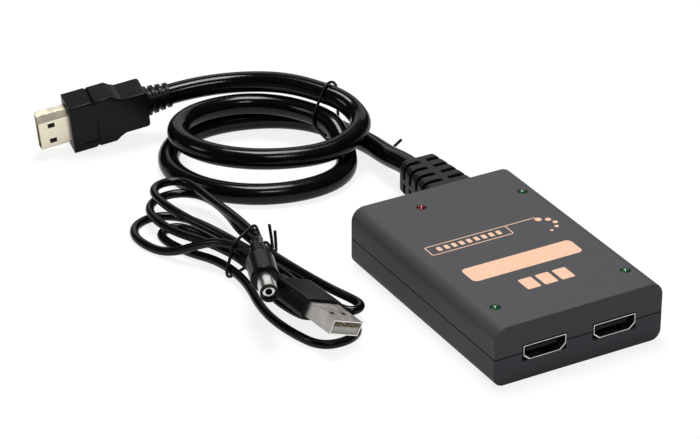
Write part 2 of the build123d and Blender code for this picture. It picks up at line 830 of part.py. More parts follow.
plug_tail = frame_at(plug_tail_place, plug_heading, plug_across)
input_end_route = [coil_end, coil_end + coil_end_way * coil_end_run] + plug_route_middle
input_end_route += [plug_tail_place - plug_tail.z_dir * plug_exit_run, plug_tail_place]
with BuildPart() as input_lead_end:
    with BuildLine() as input_end_line:
        FilletPolyline(*input_end_route, radius=arc_radii(input_end_route))
    with BuildSketch(start_plane(input_end_line)):
        Circle(lead_diameter / 2)
    sweep(path=input_end_line.wires()[0])
input_lead_end.part.label = "input_lead_end"
report_stretch("input_lead_end", input_end_route, input_lead_end.part, lead_diameter)


# tie of the coil: a wire drawn round the three strands where the turns close
def coil_crossing(low, high):
    """Middle of the strand that crosses the tie's plane between two turns."""
    for _ in range(40):
        middle = (low + high) / 2
        if (coil_point(middle) - coil_start).dot(tie_way) < 0:
            low = middle
        else:
            high = middle
    return coil_point(middle)


tie_way = Vector(-0.406, 0.914, 0).normalized()
tie_side = Vector(tie_way.Y, -tie_way.X, 0)
tie_plane = Plane(origin=coil_start, x_dir=tie_side, z_dir=tie_way * -1)
tie_strands = [
    tie_plane.to_local_coords(coil_crossing(low, high)) for low, high in ((0.97, 1.12), (1.97, 2.12))
]
tie_bore = lead_diameter / 2 + tie_gap
tie_rise = Vector(tie_strands[1].X, tie_strands[1].Y)
tie_square = Vector(tie_rise.Y, -tie_rise.X).normalized()
tie_tail_start = tie_rise * tie_tail_share + tie_square * (tie_bore + tie_wire / 2)
tie_tail_turn = tie_tail_start + tie_square * tie_tail_run
with BuildPart() as coil_tie:
    with BuildSketch(tie_plane):
        with Locations((0, 0), *[(strand.X, strand.Y) for strand in tie_strands]):
            Circle(tie_bore + tie_wire)
        make_hull()
    extrude(amount=tie_wire / 2, both=True)
    with BuildSketch(tie_plane):
        with Locations((0, 0), *[(strand.X, strand.Y) for strand in tie_strands]):
            Circle(tie_bore)
        make_hull()
    extrude(amount=tie_wire / 2, both=True, mode=Mode.SUBTRACT)
    with BuildLine() as tie_tail:
        FilletPolyline(
            tie_plane.from_local_coords(tie_tail_start),
            tie_plane.from_local_coords(tie_tail_turn),
            *coil_tail_route,
            radius=tie_tail_bend,
        )
    with BuildSketch(start_plane(tie_tail)):
        Circle(tie_wire / 2)
    sweep(path=tie_tail.wires()[0])
coil_tie.part.label = "coil_tie"

# plug of the input lead, built forward from the lead's end
grip_length = (grip_front_length + grip_notch_length + grip_rear_length
               + grip_shoulder_length + grip_waist_length + grip_tail_length)
grip_front = plug_relief_length + grip_length
grip_notch = grip_front - grip_front_length
grip_rear_start = grip_notch - grip_notch_length
grip_shoulder = grip_rear_start - grip_rear_length
grip_waist = grip_shoulder - grip_shoulder_length
grip_tail_start = grip_waist - grip_waist_length
plug_tip = grip_front + plug_shell_length
plug_axis = Axis(plug_tail.origin, plug_tail.z_dir)
plug_face_axis = Axis(plug_tail.origin, plug_tail.y_dir)
with BuildPart() as plug_grip:
    with BuildSketch(side_plane(plug_tail)) as grip_outline:
        with BuildLine():
            Polyline(
                (plug_relief_length, 0),
                (plug_relief_length, grip_tail_half_width),
                (grip_tail_start, grip_tail_half_width),
                (grip_waist, grip_waist_half_width),
                (grip_shoulder, grip_rear_half_width),
                (grip_rear_start, grip_rear_half_width),
                (grip_rear_start + grip_notch_length / 2, grip_notch_half_width),
                (grip_notch, grip_half_width),
                (grip_front, grip_half_width),
                (grip_front, 0),
            )
            mirror(about=Plane.XZ)
        make_face()
        fillet(grip_outline.vertices().group_by(Axis.X)[0], radius=grip_edge_radius)
    extrude(amount=grip_thickness / 2, both=True)
    wide_faces = plug_grip.faces().sort_by(plug_face_axis)
    fillet(wide_faces[0].edges() + wide_faces[-1].edges(), radius=grip_edge_radius / 2)
    with BuildSketch(side_plane(plug_tail, -grip_thickness / 2)):
        groove_end = grip_front - grip_groove_start - grip_groove_run
        with Locations((groove_end + grip_groove_run / 2, -grip_groove_offset)):
            Rectangle(grip_groove_run + grip_groove_width, grip_groove_width)
        with Locations((groove_end, (grip_groove_end - grip_groove_offset) / 2)):
            Rectangle(grip_groove_width, grip_groove_offset + grip_groove_end)
    extrude(amount=grip_groove_depth, mode=Mode.SUBTRACT)
    with BuildSketch(side_plane(plug_tail)):
        with BuildLine():
            Polyline(
                *ribbed_outline(plug_relief_length, plug_relief_length, plug_relief_near_diameter / 2,
                                plug_relief_far_diameter / 2, plug_relief_ribs, plug_relief_groove),
                close=True,
            )
        make_face()
    revolve(axis=plug_axis)
plug_grip.part.label = "plug_grip"

with BuildPart() as plug_shell:
    with BuildSketch(plug_tail.offset(plug_tip)):
        draw_port(plug_width, plug_depth, plug_chamfer_across, plug_chamfer_up)
        draw_port(plug_width, plug_depth, plug_chamfer_across, plug_chamfer_up, plug_wall, Mode.SUBTRACT)
    extrude(amount=-plug_shell_length)
    with BuildSketch(side_plane(plug_tail, -plug_depth / 2 - overrun)):
        with Locations((plug_tip - latch_hole_set_back, 0)):
            with GridLocations(0, latch_hole_spacing, 1, 2):
                Rectangle(latch_hole_length, latch_hole_width)
    extrude(amount=overrun + 2 * plug_wall, mode=Mode.SUBTRACT)
plug_shell.part.label = "plug_shell"

insert_front = plug_tip - plug_insert_set_back
with BuildPart() as plug_insert:
    with BuildSketch(plug_tail.offset(insert_front)):
        draw_port(plug_width, plug_depth, plug_chamfer_across, plug_chamfer_up, plug_wall)
    extrude(amount=grip_front - insert_front)
    with BuildSketch(plug_tail.offset(insert_front)):
        Rectangle(plug_slot_width, plug_slot_height)
    extrude(amount=-plug_slot_depth, mode=Mode.SUBTRACT)
plug_insert.part.label = "plug_insert"

plug_contact_rows = [
    ((plug_slot_height - plug_contact_thickness) / 2, socket_contact_count),
    ((plug_contact_thickness - plug_slot_height) / 2, socket_contact_count - 1),
]
with BuildPart() as plug_contacts:
    with BuildSketch(plug_tail.offset(insert_front - plug_slot_depth)):
        for row_height, row_count in plug_contact_rows:
            with Locations((0, row_height)):
                with GridLocations(socket_contact_pitch, 0, row_count, 1):
                    Rectangle(socket_contact_width, plug_contact_thickness)
    extrude(amount=plug_slot_depth - plug_insert_set_back)
plug_contacts.part.label = "plug_contacts"


# hank of the power lead
def hank_stations():
    """Stations of the hank in its own frame: a pass at the waist, then round one loop, and so on."""
    passes = [Vector(0, across, hank_layers[layer] + hank_tie_lift) for across, layer in hank_passes]
    passes[0] += Vector(0, 0, hank_first_lift)
    loops = []
    for side, layer, bend, tip, middle, half in hank_loops:
        ahead = Vector(side, middle / bend, 0).normalized()
        across = Vector(ahead.Y, -ahead.X, 0)
        root = Vector(side * bend, middle, hank_layers[layer])
        loops.append([
            (root + across * half, ahead),
            (root + ahead * (tip - bend), across * -1),
            (root - across * half, ahead * -1),
        ])
    stations = []
    for index, spot in enumerate(passes):
        before = loops[index - 1][2][0] if index else spot
        after = loops[index][0][0] if index < len(loops) else spot
        way = after - before
        stations.append((spot, Vector(way.X, way.Y, 0).normalized()))
        if index < len(loops):
            stations += loops[index]
    return stations


hank_frame = Plane(origin=hank_waist, x_dir=(cos(radians(hank_heading)), sin(radians(hank_heading)), 0))


def from_hank(spot):
    """Point of the hank's own frame, as a point of the part."""
    return hank_frame.from_local_coords(Vector(*spot))


hank_path = [(from_hank(spot), from_hank(way) - hank_waist) for spot, way in hank_stations()]
with BuildPart() as power_cord_hank:
    with BuildLine() as hank_line:
        draw_arcs(hank_path)
    with BuildSketch(start_plane(hank_line)):
        Circle(wire_diameter / 2)
    sweep(path=hank_line.wires()[0])
power_cord_hank.part.label = "power_cord_hank"
report_winding("power_cord_hank", hank_line, wire_diameter)

# free stretches of the power lead, from each plug to the hank
usb_tail = frame_at(usb_tail_place, usb_heading, usb_across)
usb_waist, usb_waist_way = hank_path[-1]
usb_route = [usb_tail_place, usb_tail_place - usb_tail.z_dir * usb_exit_run] + usb_route_middle
usb_route += [usb_waist + usb_waist_way * usb_waist_run, usb_waist]
with BuildPart() as power_cord_start:
    with BuildLine() as usb_line:
        FilletPolyline(*usb_route, radius=arc_radii(usb_route))
    with BuildSketch(start_plane(usb_line)):
        Circle(wire_diameter / 2)
    sweep(path=usb_line.wires()[0])
power_cord_start.part.label = "power_cord_start"
report_stretch("power_cord_start", usb_route, power_cord_start.part, wire_diameter)

dc_tail = frame_at(dc_tail_place, dc_heading, (0, 0, 1))
dc_waist, dc_waist_way = hank_path[0]
dc_route = [dc_tail_place, dc_tail_place - dc_tail.z_dir * dc_exit_run] + dc_route_middle
dc_route += [dc_waist - dc_waist_way * dc_waist_run, dc_waist]
with BuildPart() as power_cord_end:
    with BuildLine() as dc_line:
        FilletPolyline(*dc_route, radius=arc_radii(dc_route))
    with BuildSketch(start_plane(dc_line)):
        Circle(wire_diameter / 2)
    sweep(path=dc_line.wires()[0])
power_cord_end.part.label = "power_cord_end"
report_stretch("power_cord_end", dc_route, power_cord_end.part, wire_diameter)

# tie of the hank: a wire round its waist, with two ends that stand up
power_tie_plane = Plane(origin=hank_waist, x_dir=hank_frame.y_dir, z_dir=hank_frame.x_dir)
power_tie_spots = [(across, hank_layers[layer] + hank_tie_lift) for across, layer in hank_passes]
power_tie_spots[0] = (hank_passes[0][0], power_tie_spots[0][1] + hank_first_lift)
power_tie_bore = wire_diameter / 2 + power_tie_gap
with BuildPart() as power_cord_tie:
    with BuildSketch(power_tie_plane):
        with Locations(*power_tie_spots):
            Circle(power_tie_bore + tie_wire)
        make_hull()
    extrude(amount=tie_wire / 2, both=True)
    with BuildSketch(power_tie_plane):
        with Locations(*power_tie_spots):
            Circle(power_tie_bore)
        make_hull()
    extrude(amount=tie_wire / 2, both=True, mode=Mode.SUBTRACT)
    for tail_route in power_tail_routes:
        with BuildLine() as power_tail:
            FilletPolyline(*[from_hank(spot) for spot in tail_route], radius=power_tail_bend)
        with BuildSketch(start_plane(power_tail)):
            Circle(tie_wire / 2)
        sweep(path=power_tail.wires()[0])
power_cord_tie.part.label = "power_cord_tie"

# type A plug of the power lead
usb_grip_front = usb_tail_length + usb_grip_length
usb_tip = usb_grip_front + usb_shell_length
with BuildPart() as usb_grip:
    with BuildSketch(usb_tail.offset(usb_tail_length)):
        RectangleRounded(usb_grip_width, usb_grip_thickness, usb_grip_radius)
    extrude(amount=usb_grip_length)
    usb_axis = Axis(usb_tail.origin, usb_tail.z_dir)
    fillet(usb_grip.faces().sort_by(usb_axis)[0].edges(), radius=usb_grip_radius / 2)
    with BuildSketch(side_plane(usb_tail)):
        with BuildLine():
            Polyline(
                (0, 0),
                (0, usb_tail_far_diameter / 2),
                (usb_tail_length, usb_tail_near_diameter / 2),
                (usb_tail_length, 0),
                close=True,
            )
        make_face()
    revolve(axis=Axis(usb_tail.origin, usb_tail.z_dir))
usb_grip.part.label = "usb_grip"

with BuildPart() as usb_shell:
    with BuildSketch(usb_tail.offset(usb_tip)):
        Rectangle(usb_width, usb_depth)
        Rectangle(usb_width - 2 * usb_wall, usb_depth - 2 * usb_wall, mode=Mode.SUBTRACT)
    extrude(amount=-usb_shell_length)
    with BuildSketch(side_plane(usb_tail, usb_depth / 2 + overrun)):
        with Locations((usb_tip - usb_hole_set_back, 0)):
            with GridLocations(0, usb_hole_spacing, 1, 2):
                Rectangle(usb_hole_size, usb_hole_size)
    extrude(amount=-overrun - 2 * usb_wall, mode=Mode.SUBTRACT)
usb_shell.part.label = "usb_shell"

usb_insert_height = usb_insert_thickness + usb_wall - usb_depth / 2
with BuildPart() as usb_insert:
    with BuildSketch(usb_tail.offset(usb_tip - usb_insert_set_back)):
        with Locations((0, usb_insert_height - usb_insert_thickness / 2)):
            Rectangle(usb_width - 2 * usb_wall, usb_insert_thickness)
    extrude(amount=usb_grip_front - usb_tip + usb_insert_set_back)
usb_insert.part.label = "usb_insert"

with BuildPart() as usb_contacts:
    with BuildSketch(usb_tail.offset(usb_tip - 2 * usb_insert_set_back)):
        with Locations((0, usb_insert_height + usb_contact_thickness / 2)):
            with GridLocations(usb_contact_pitch, 0, usb_contact_count, 1):
                Rectangle(usb_contact_width, usb_contact_thickness)
    extrude(amount=-usb_contact_length)
usb_contacts.part.label = "usb_contacts"

# barrel plug of the power lead
dc_grip_front = dc_tail_length + dc_grip_length
dc_axis = Axis(dc_tail.origin, dc_tail.z_dir)
with BuildPart() as dc_grip:
    with BuildSketch(dc_tail.offset(dc_tail_length)):
        Circle(dc_grip_diameter / 2)
    extrude(amount=dc_grip_length)
    fillet(dc_grip.edges().filter_by(GeomType.CIRCLE), radius=dc_grip_edge)
    with BuildSketch(side_plane(dc_tail)):
        with BuildLine():
            Polyline(
                *ribbed_outline(dc_tail_length + dc_grip_edge, dc_tail_length + dc_grip_edge,
                                dc_tail_near_diameter / 2, dc_tail_far_diameter / 2,
                                dc_tail_ribs, dc_tail_groove),
                close=True,
            )
        make_face()
    revolve(axis=dc_axis)
dc_grip.part.label = "dc_grip"

with BuildPart() as dc_barrel:
    with BuildSketch(dc_tail.offset(dc_grip_front)):
        Circle(barrel_diameter / 2)
        Circle(barrel_bore / 2, mode=Mode.SUBTRACT)
    extrude(amount=barrel_length - tip_ring_length)
dc_barrel.part.label = "dc_barrel"

with BuildPart() as dc_tip_ring:
    with BuildSketch(dc_tail.offset(dc_grip_front + barrel_length - tip_ring_length)):
        Circle(barrel_diameter / 2)
        Circle(barrel_bore / 2, mode=Mode.SUBTRACT)
    extrude(amount=tip_ring_length)
dc_tip_ring.part.label = "dc_tip_ring"

with BuildPart() as dc_inner_contact:
    with BuildSketch(dc_tail.offset(dc_grip_front)):
        Circle(inner_contact_diameter / 2)
        Circle(inner_contact_bore / 2, mode=Mode.SUBTRACT)
    extrude(amount=barrel_length - tip_ring_length - inner_contact_gap)
dc_inner_contact.part.label = "dc_inner_contact"

# written files, one for each piece
pieces = [
    top_case.part, bottom_case.part, case_screws.part, light_legs.part, circuit_board.part,
    splitter_chip.part, support_chips.part, crystal.part, chip_resistors.part, capacitors.part,
    dc_jack_body.part, dc_jack_pin.part, dc_jack_spring.part, strain_relief.part, lead_conductors.part,
    input_lead_start.part, input_lead_coil.part, input_lead_end.part, coil_tie.part,
    plug_grip.part, plug_shell.part, plug_insert.part, plug_contacts.part,
    power_cord_start.part, power_cord_hank.part, power_cord_end.part, power_cord_tie.part,
    usb_grip.part, usb_shell.part, usb_insert.part, usb_contacts.part,
    dc_grip.part, dc_barrel.part, dc_tip_ring.part, dc_inner_contact.part,
]
pieces += list(lamps.values()) + list(socket_parts.values())
os.makedirs("parts", exist_ok=True)
for piece in pieces:
    export_step(piece, f"parts/{piece.label}.step")
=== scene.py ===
"""Looks of a small two-output video splitter with its captive lead and its power lead.

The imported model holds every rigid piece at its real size. This script gives each of them its
finish, and replaces the leads and their wire ties with smooth round ones on the same routes.
"""

import logging
import math
from dataclasses import dataclass, field
from enum import Enum
from typing import Any, Iterable, Optional, Sequence, Union

import bpy
import numpy as np
from mathutils import Matrix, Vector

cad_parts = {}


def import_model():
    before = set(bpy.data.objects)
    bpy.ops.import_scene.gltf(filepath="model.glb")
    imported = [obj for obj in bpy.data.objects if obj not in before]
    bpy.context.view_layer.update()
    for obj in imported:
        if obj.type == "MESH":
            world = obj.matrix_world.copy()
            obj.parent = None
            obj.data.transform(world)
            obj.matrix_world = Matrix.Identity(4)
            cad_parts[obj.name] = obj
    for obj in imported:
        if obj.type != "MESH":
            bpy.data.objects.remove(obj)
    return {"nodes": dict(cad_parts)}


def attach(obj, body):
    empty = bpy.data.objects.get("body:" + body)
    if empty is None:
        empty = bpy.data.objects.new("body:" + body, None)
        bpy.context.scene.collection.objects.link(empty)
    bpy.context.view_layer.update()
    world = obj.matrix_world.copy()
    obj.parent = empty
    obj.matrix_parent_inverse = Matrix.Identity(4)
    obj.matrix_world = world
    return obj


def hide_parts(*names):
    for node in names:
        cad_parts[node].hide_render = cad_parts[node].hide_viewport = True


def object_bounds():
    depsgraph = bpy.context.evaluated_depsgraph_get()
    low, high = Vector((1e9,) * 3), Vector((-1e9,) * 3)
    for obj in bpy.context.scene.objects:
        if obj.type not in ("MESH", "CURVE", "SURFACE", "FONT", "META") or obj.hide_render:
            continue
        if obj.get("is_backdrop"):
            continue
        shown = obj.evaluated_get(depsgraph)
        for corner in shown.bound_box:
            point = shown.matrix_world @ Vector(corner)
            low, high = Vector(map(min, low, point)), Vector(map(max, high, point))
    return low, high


LOG = logging.getLogger("splitter")
MM = 0.001
MERGE_REACH = 2e-6
SOFT_ANGLE = math.radians(40)
STRAIGHT = 1e-9
RING_STEPS = 72
Number = Union[int, float]
Colour = tuple[float, float, float]
Pair = tuple[float, float]
Point = tuple[float, float, float]
Rect = tuple[float, float, float, float]
Loop = tuple[int, int, float, float, float, float]
Outline = tuple[np.ndarray, Optional[np.ndarray]]
Nodes = dict[str, bpy.types.Object]


class Body(str, Enum):
    """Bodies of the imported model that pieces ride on."""

    SPLITTER = "splitter"
    POWER_LEAD = "power_lead"


# Shader maths
class Value:
    """One socket of a shader graph. Arithmetic on it adds the Math nodes it needs."""

    def __init__(self, graph: "Graph", socket: Any) -> None:
        """Wrap a socket.

        Args:
            graph: the graph that the socket belongs to.
            socket: an output socket of a node.
        """
        self.graph = graph
        self.socket = socket

    def math(self, operation: str, *others: Union["Value", Number]) -> "Value":
        """Add one Math node with this value as its first input.

        Args:
            operation: the Math node's operation.
            others: its other inputs.

        Returns:
            The node's output.
        """
        links = {index: other for index, other in enumerate((self, *others))}
        return self.graph.add("ShaderNodeMath", {"operation": operation}, links)

    def __add__(self, other: Union["Value", Number]) -> "Value":
        """Sum."""
        return self.math("ADD", other)

    __radd__ = __add__

    def __mul__(self, other: Union["Value", Number]) -> "Value":
        """Product."""
        return self.math("MULTIPLY", other)

    __rmul__ = __mul__

    def __sub__(self, other: Union["Value", Number]) -> "Value":
        """Difference."""
        return self.math("SUBTRACT", other)

    def __rsub__(self, other: Number) -> "Value":
        """Reflected difference."""
        return (self * -1.0).math("ADD", other)

    def clamp(self) -> "Value":
        """This value kept between 0 and 1."""
        return self.graph.add("ShaderNodeClamp", {}, {0: self})

    def step(self, low: float, high: float) -> "Value":
        """Smooth step from 0 at low to 1 at high."""
        return self.graph.add(
            "ShaderNodeMapRange",
            {"interpolation_type": "SMOOTHSTEP"},
            {"Value": self, "From Min": low, "From Max": high},
        )


class Graph:
    """The nodes of one material, with its Principled shader as their end."""

    def __init__(self, name: str) -> None:
        """Start a material with an empty graph.

        Args:
            name: the material's name.
        """
        self.material = bpy.data.materials.new(name)
        self.material.use_nodes = True
        self.tree = self.material.node_tree
        self.tree.nodes.clear()
        self.output = self.tree.nodes.new("ShaderNodeOutputMaterial")
        self.shader = self.tree.nodes.new("ShaderNodeBsdfPrincipled")
        self.tree.links.new(self.shader.outputs[0], self.output.inputs["Surface"])

    def put(self, node: Any, key: Union[int, str], value: Any) -> None:
        """Link a value to a socket, or set it there.

        Args:
            node: the node that has the socket.
            key: the socket's index or name.
            value: a Value, a number, or a colour or vector.
        """
        socket = node.inputs[key]
        if isinstance(value, Value):
            self.tree.links.new(value.socket, socket)
        elif isinstance(value, (tuple, list)) and socket.type == "RGBA" and len(value) == 3:
            socket.default_value = (*value, 1.0)
        else:
            socket.default_value = value

    def add(
        self,
        kind: str,
        settings: Optional[dict[str, Any]] = None,
        links: Optional[dict[Union[int, str], Any]] = None,
        output: Union[int, str] = 0,
    ) -> Value:
        """Add any node.

        Args:
            kind: the node's type.
            settings: its settings, made before its sockets are filled.
            links: the values or links of its sockets.
            output: which output to return.

        Returns:
            That output.
        """
        node = self.tree.nodes.new(kind)
        for key, setting in (settings or {}).items():
            setattr(node, key, setting)
        for key, value in (links or {}).items():
            self.put(node, key, value)
        return Value(self, node.outputs[output])

    def place(self) -> Value:
        """Place on the piece, in metres."""
        return self.add("ShaderNodeTexCoord", output="Object")

    def noise(
        self, size: float, detail: float = 2.0, at: Optional[Value] = None, roughness: float = 0.5
    ) -> Value:
        """Noise with grains of about a size.

        Args:
            size: the grain's size in metres.
            detail: octaves of finer noise.
            at: where it is read; the place on the piece if left out.
            roughness: share of each finer octave.

        Returns:
            The noise, about 0.5 on average.
        """
        links = {
            "Vector": at or self.place(), "Scale": 1.0 / size,
            "Detail": detail, "Roughness": roughness,
        }
        return self.add("ShaderNodeTexNoise", {}, links)

    def blend(self, share: Union[Value, float], low: Any, high: Any) -> Value:
        """Mix two colours.

        Args:
            share: 0 for the low colour, 1 for the high one.
            low: a colour or a Value.
            high: a colour or a Value.

        Returns:
            The mixed colour.
        """
        links = {0: share, 6: low, 7: high}
        return self.add("ShaderNodeMix", {"data_type": "RGBA"}, links, output=2)

    def stretched(self, scale: Point) -> Value:
        """Place on the piece, stretched along its axes."""
        return self.add("ShaderNodeMapping", {}, {"Vector": self.place(), "Scale": scale})

    def bump(
        self, height: Value, depth: float, strength: float = 1.0, below: Optional[Value] = None
    ) -> Value:
        """Normal from a height.

        Args:
            height: the height, 0 to 1.
            depth: its depth in metres.
            strength: how much of it shows.
            below: a normal to start from.

        Returns:
            The bumped normal.
        """
        links: dict[Union[int, str], Any] = {
            "Height": height, "Distance": depth, "Strength": strength,
        }
        if below is not None:
            links["Normal"] = below
        return self.add("ShaderNodeBump", {}, links)

    def finish(self, **sockets: Any) -> bpy.types.Material:
        """Fill the Principled shader's sockets.

        Args:
            sockets: socket names with underscores for spaces, and their values.

        Returns:
            The finished material.
        """
        for key, value in sockets.items():
            self.put(self.shader, key.replace("_", " "), value)
        return self.material


# Finishes
def lighter(colour: Colour, factor: float, lift: float = 0.0) -> Colour:
    """A colour times a factor plus a lift, each channel kept at 1 or less."""
    return tuple(min(1.0, channel * factor + lift) for channel in colour)


@dataclass(frozen=True)
class TexturedPlastic:
    """Matte case plastic with an even spark-eroded grain and faint handling marks."""

    name: str
    base: Colour
    grain: float = 0.35 * MM
    depth: float = 0.018 * MM
    rough: float = 0.52
    cloud: float = 18 * MM
    rub: float = 2.2 * MM
    rub_stretch: Point = (1.0, 0.25, 1.0)
    colour_shares: Point = (0.45, 0.4, 0.15)
    rough_shares: Point = (0.12, 0.10, 0.05)

    def build(self) -> bpy.types.Material:
        """Make the material: grain, slow clouds and rubbed streaks.

        Returns:
            The material.
        """
        g = Graph(self.name)
        grain = g.noise(self.grain, 3.0, roughness=0.6)
        cloud = g.noise(self.cloud, 2.0)
        rubbed = g.noise(self.rub, 4.0, at=g.stretched(self.rub_stretch)).step(0.62, 0.8)
        of_grain, of_cloud, of_rubbed = self.colour_shares
        light = (grain * of_grain + cloud * of_cloud + rubbed * of_rubbed).clamp()
        of_grain, of_cloud, of_rubbed = self.rough_shares
        rough = grain * of_grain + cloud * of_cloud + (self.rough - 0.10) - rubbed * of_rubbed
        return g.finish(
            Base_Color=g.blend(light, self.base, lighter(self.base, 1.28, 0.004)),
            Roughness=rough,
            Normal=g.bump(grain, self.depth, 0.9),
            Specular_IOR_Level=0.3,
        )


@dataclass(frozen=True)
class Jacket:
    """Smooth, glossy extruded cord jacket with slow waves and a few dull patches."""

    name: str
    base: Colour = (0.0018, 0.0018, 0.0022)
    wave: float = 9 * MM
    depth: float = 0.05 * MM
    rough: float = 0.12
    fine: float = 0.5 * MM
    fine_depth: float = 0.004 * MM
    patch: float = 14 * MM

    def build(self) -> bpy.types.Material:
        """Make the material: slow waves under a fine grain, duller in patches.

        Returns:
            The material.
        """
        g = Graph(self.name)
        wave = g.noise(self.wave, 1.0)
        fine = g.noise(self.fine, 3.0)
        dull = g.noise(self.patch, 3.0).step(0.5, 0.78)
        light = lighter(self.base, 1.6, 0.0008)
        waved = g.bump(wave, self.depth, 0.5)
        return g.finish(
            Base_Color=g.blend((dull * 0.6 + fine * 0.3).clamp(), self.base, light),
            Roughness=dull * 0.14 + fine * 0.05 + self.rough,
            Normal=g.bump(fine, self.fine_depth, 0.4, waved),
            Specular_IOR_Level=0.24,
        )


@dataclass(frozen=True)
class Moulding:
    """Soft moulded plastic of plugs and strain reliefs, with a satin skin."""

    name: str
    base: Colour = (0.0090, 0.0090, 0.0100)
    grain: float = 0.28 * MM
    rough: float = 0.38
    depth: float = 0.010 * MM
    cloud: float = 6 * MM

    def build(self) -> bpy.types.Material:
        """Make the material: a fine grain and slow clouds.

        Returns:
            The material.
        """
        g = Graph(self.name)
        grain = g.noise(self.grain, 3.0)
        cloud = g.noise(self.cloud, 3.0)
        light = lighter(self.base, 1.6, 0.001)
        return g.finish(
            Base_Color=g.blend((cloud * 0.6 + grain * 0.4).clamp(), self.base, light),
            Roughness=cloud * 0.16 + grain * 0.08 + (self.rough - 0.12),
            Normal=g.bump(grain, self.depth, 0.8),
            Specular_IOR_Level=0.18,
        )


@dataclass(frozen=True)
class Plated:
    """Plated sheet metal, faintly drawn along one way, with small stains."""

    name: str
    base: Colour = (0.72, 0.70, 0.66)
    rough: float = 0.24
    drawn: Point = (0.12, 1.0, 1.0)
    stain: Colour = (0.55, 0.51, 0.44)
    line: float = 0.16 * MM
    line_depth: float = 0.004 * MM
    cloud: float = 3 * MM

    def build(self) -> bpy.types.Material:
        """Make the material: drawn lines and stained clouds.

        Returns:
            The material.
        """
        g = Graph(self.name)
        lines = g.noise(self.line, 2.0, at=g.stretched(self.drawn))
        cloud = g.noise(self.cloud, 3.0).step(0.42, 0.75)
        return g.finish(
            Base_Color=g.blend((cloud * 0.7).clamp(), self.base, self.stain),
            Metallic=1.0,
            Roughness=lines * 0.14 + cloud * 0.12 + (self.rough - 0.06),
            Normal=g.bump(lines, self.line_depth, 0.5),
        )


@dataclass(frozen=True)
class Lens:
    """Tinted clear plastic of an unlit indicator lamp."""

    name: str
    base: Colour
    deep: Colour
    swirl: float = 1.1 * MM

    def build(self) -> bpy.types.Material:
        """Make the material: a slow swirl from the tint to its deep shade.

        Returns:
            The material.
        """
        g = Graph(self.name)
        swirl = g.noise(self.swirl, 2.0)
        return g.finish(
            Base_Color=g.blend((swirl * 1.6 - 0.45).clamp(), self.base, self.deep),
            Roughness=swirl * 0.08 + 0.06,
            Coat_Weight=0.6,
            Coat_Roughness=0.05,
            Subsurface_Weight=0.2,
            Subsurface_Scale=1.0 * MM,
        )


@dataclass(frozen=True)
class PrintInk:
    """Pad-printed ink on the top, thin enough for the grain to show."""

    name: str
    base: Colour = (0.84, 0.52, 0.36)
    grain: float = 0.35 * MM
    depth: float = 0.012 * MM
    wear: float = 1.4 * MM

    def build(self) -> bpy.types.Material:
        """Make the material: the case's grain, and ink laid thinner in spots.

        Returns:
            The material.
        """
        g = Graph(self.name)
        grain = g.noise(self.grain, 3.0, roughness=0.6)
        worn = g.noise(self.wear, 4.0).step(0.3, 0.75)
        share = (worn * 0.7 + grain * 0.3).clamp()
        return g.finish(
            Base_Color=g.blend(share, self.base, lighter(self.base, 1.14)),
            Roughness=grain * 0.14 + 0.44,
            Normal=g.bump(grain, self.depth, 0.8),
            Specular_IOR_Level=0.3,
        )


@dataclass(frozen=True)
class SolderMask:
    """Green board with copper tracks under its lacquer."""

    name: str
    base: Colour = (0.012, 0.11, 0.045)
    cell: float = 2.4 * MM
    fine: float = 0.6 * MM
    depth: float = 0.03 * MM

    def build(self) -> bpy.types.Material:
        """Make the material: tracks run along the edges of uneven cells.

        Returns:
            The material.
        """
        g = Graph(self.name)
        links = {"Vector": g.place(), "Scale": 1.0 / self.cell}
        tracks = g.add("ShaderNodeTexVoronoi", {"feature": "DISTANCE_TO_EDGE"}, links)
        line = 1.0 - tracks.step(0.06, 0.10)
        return g.finish(
            Base_Color=g.blend(line * 0.8, self.base, lighter(self.base, 1.9)),
            Roughness=g.noise(self.fine) * 0.12 + 0.22,
            Normal=g.bump(line, self.depth, 0.6),
            Coat_Weight=0.3,
        )


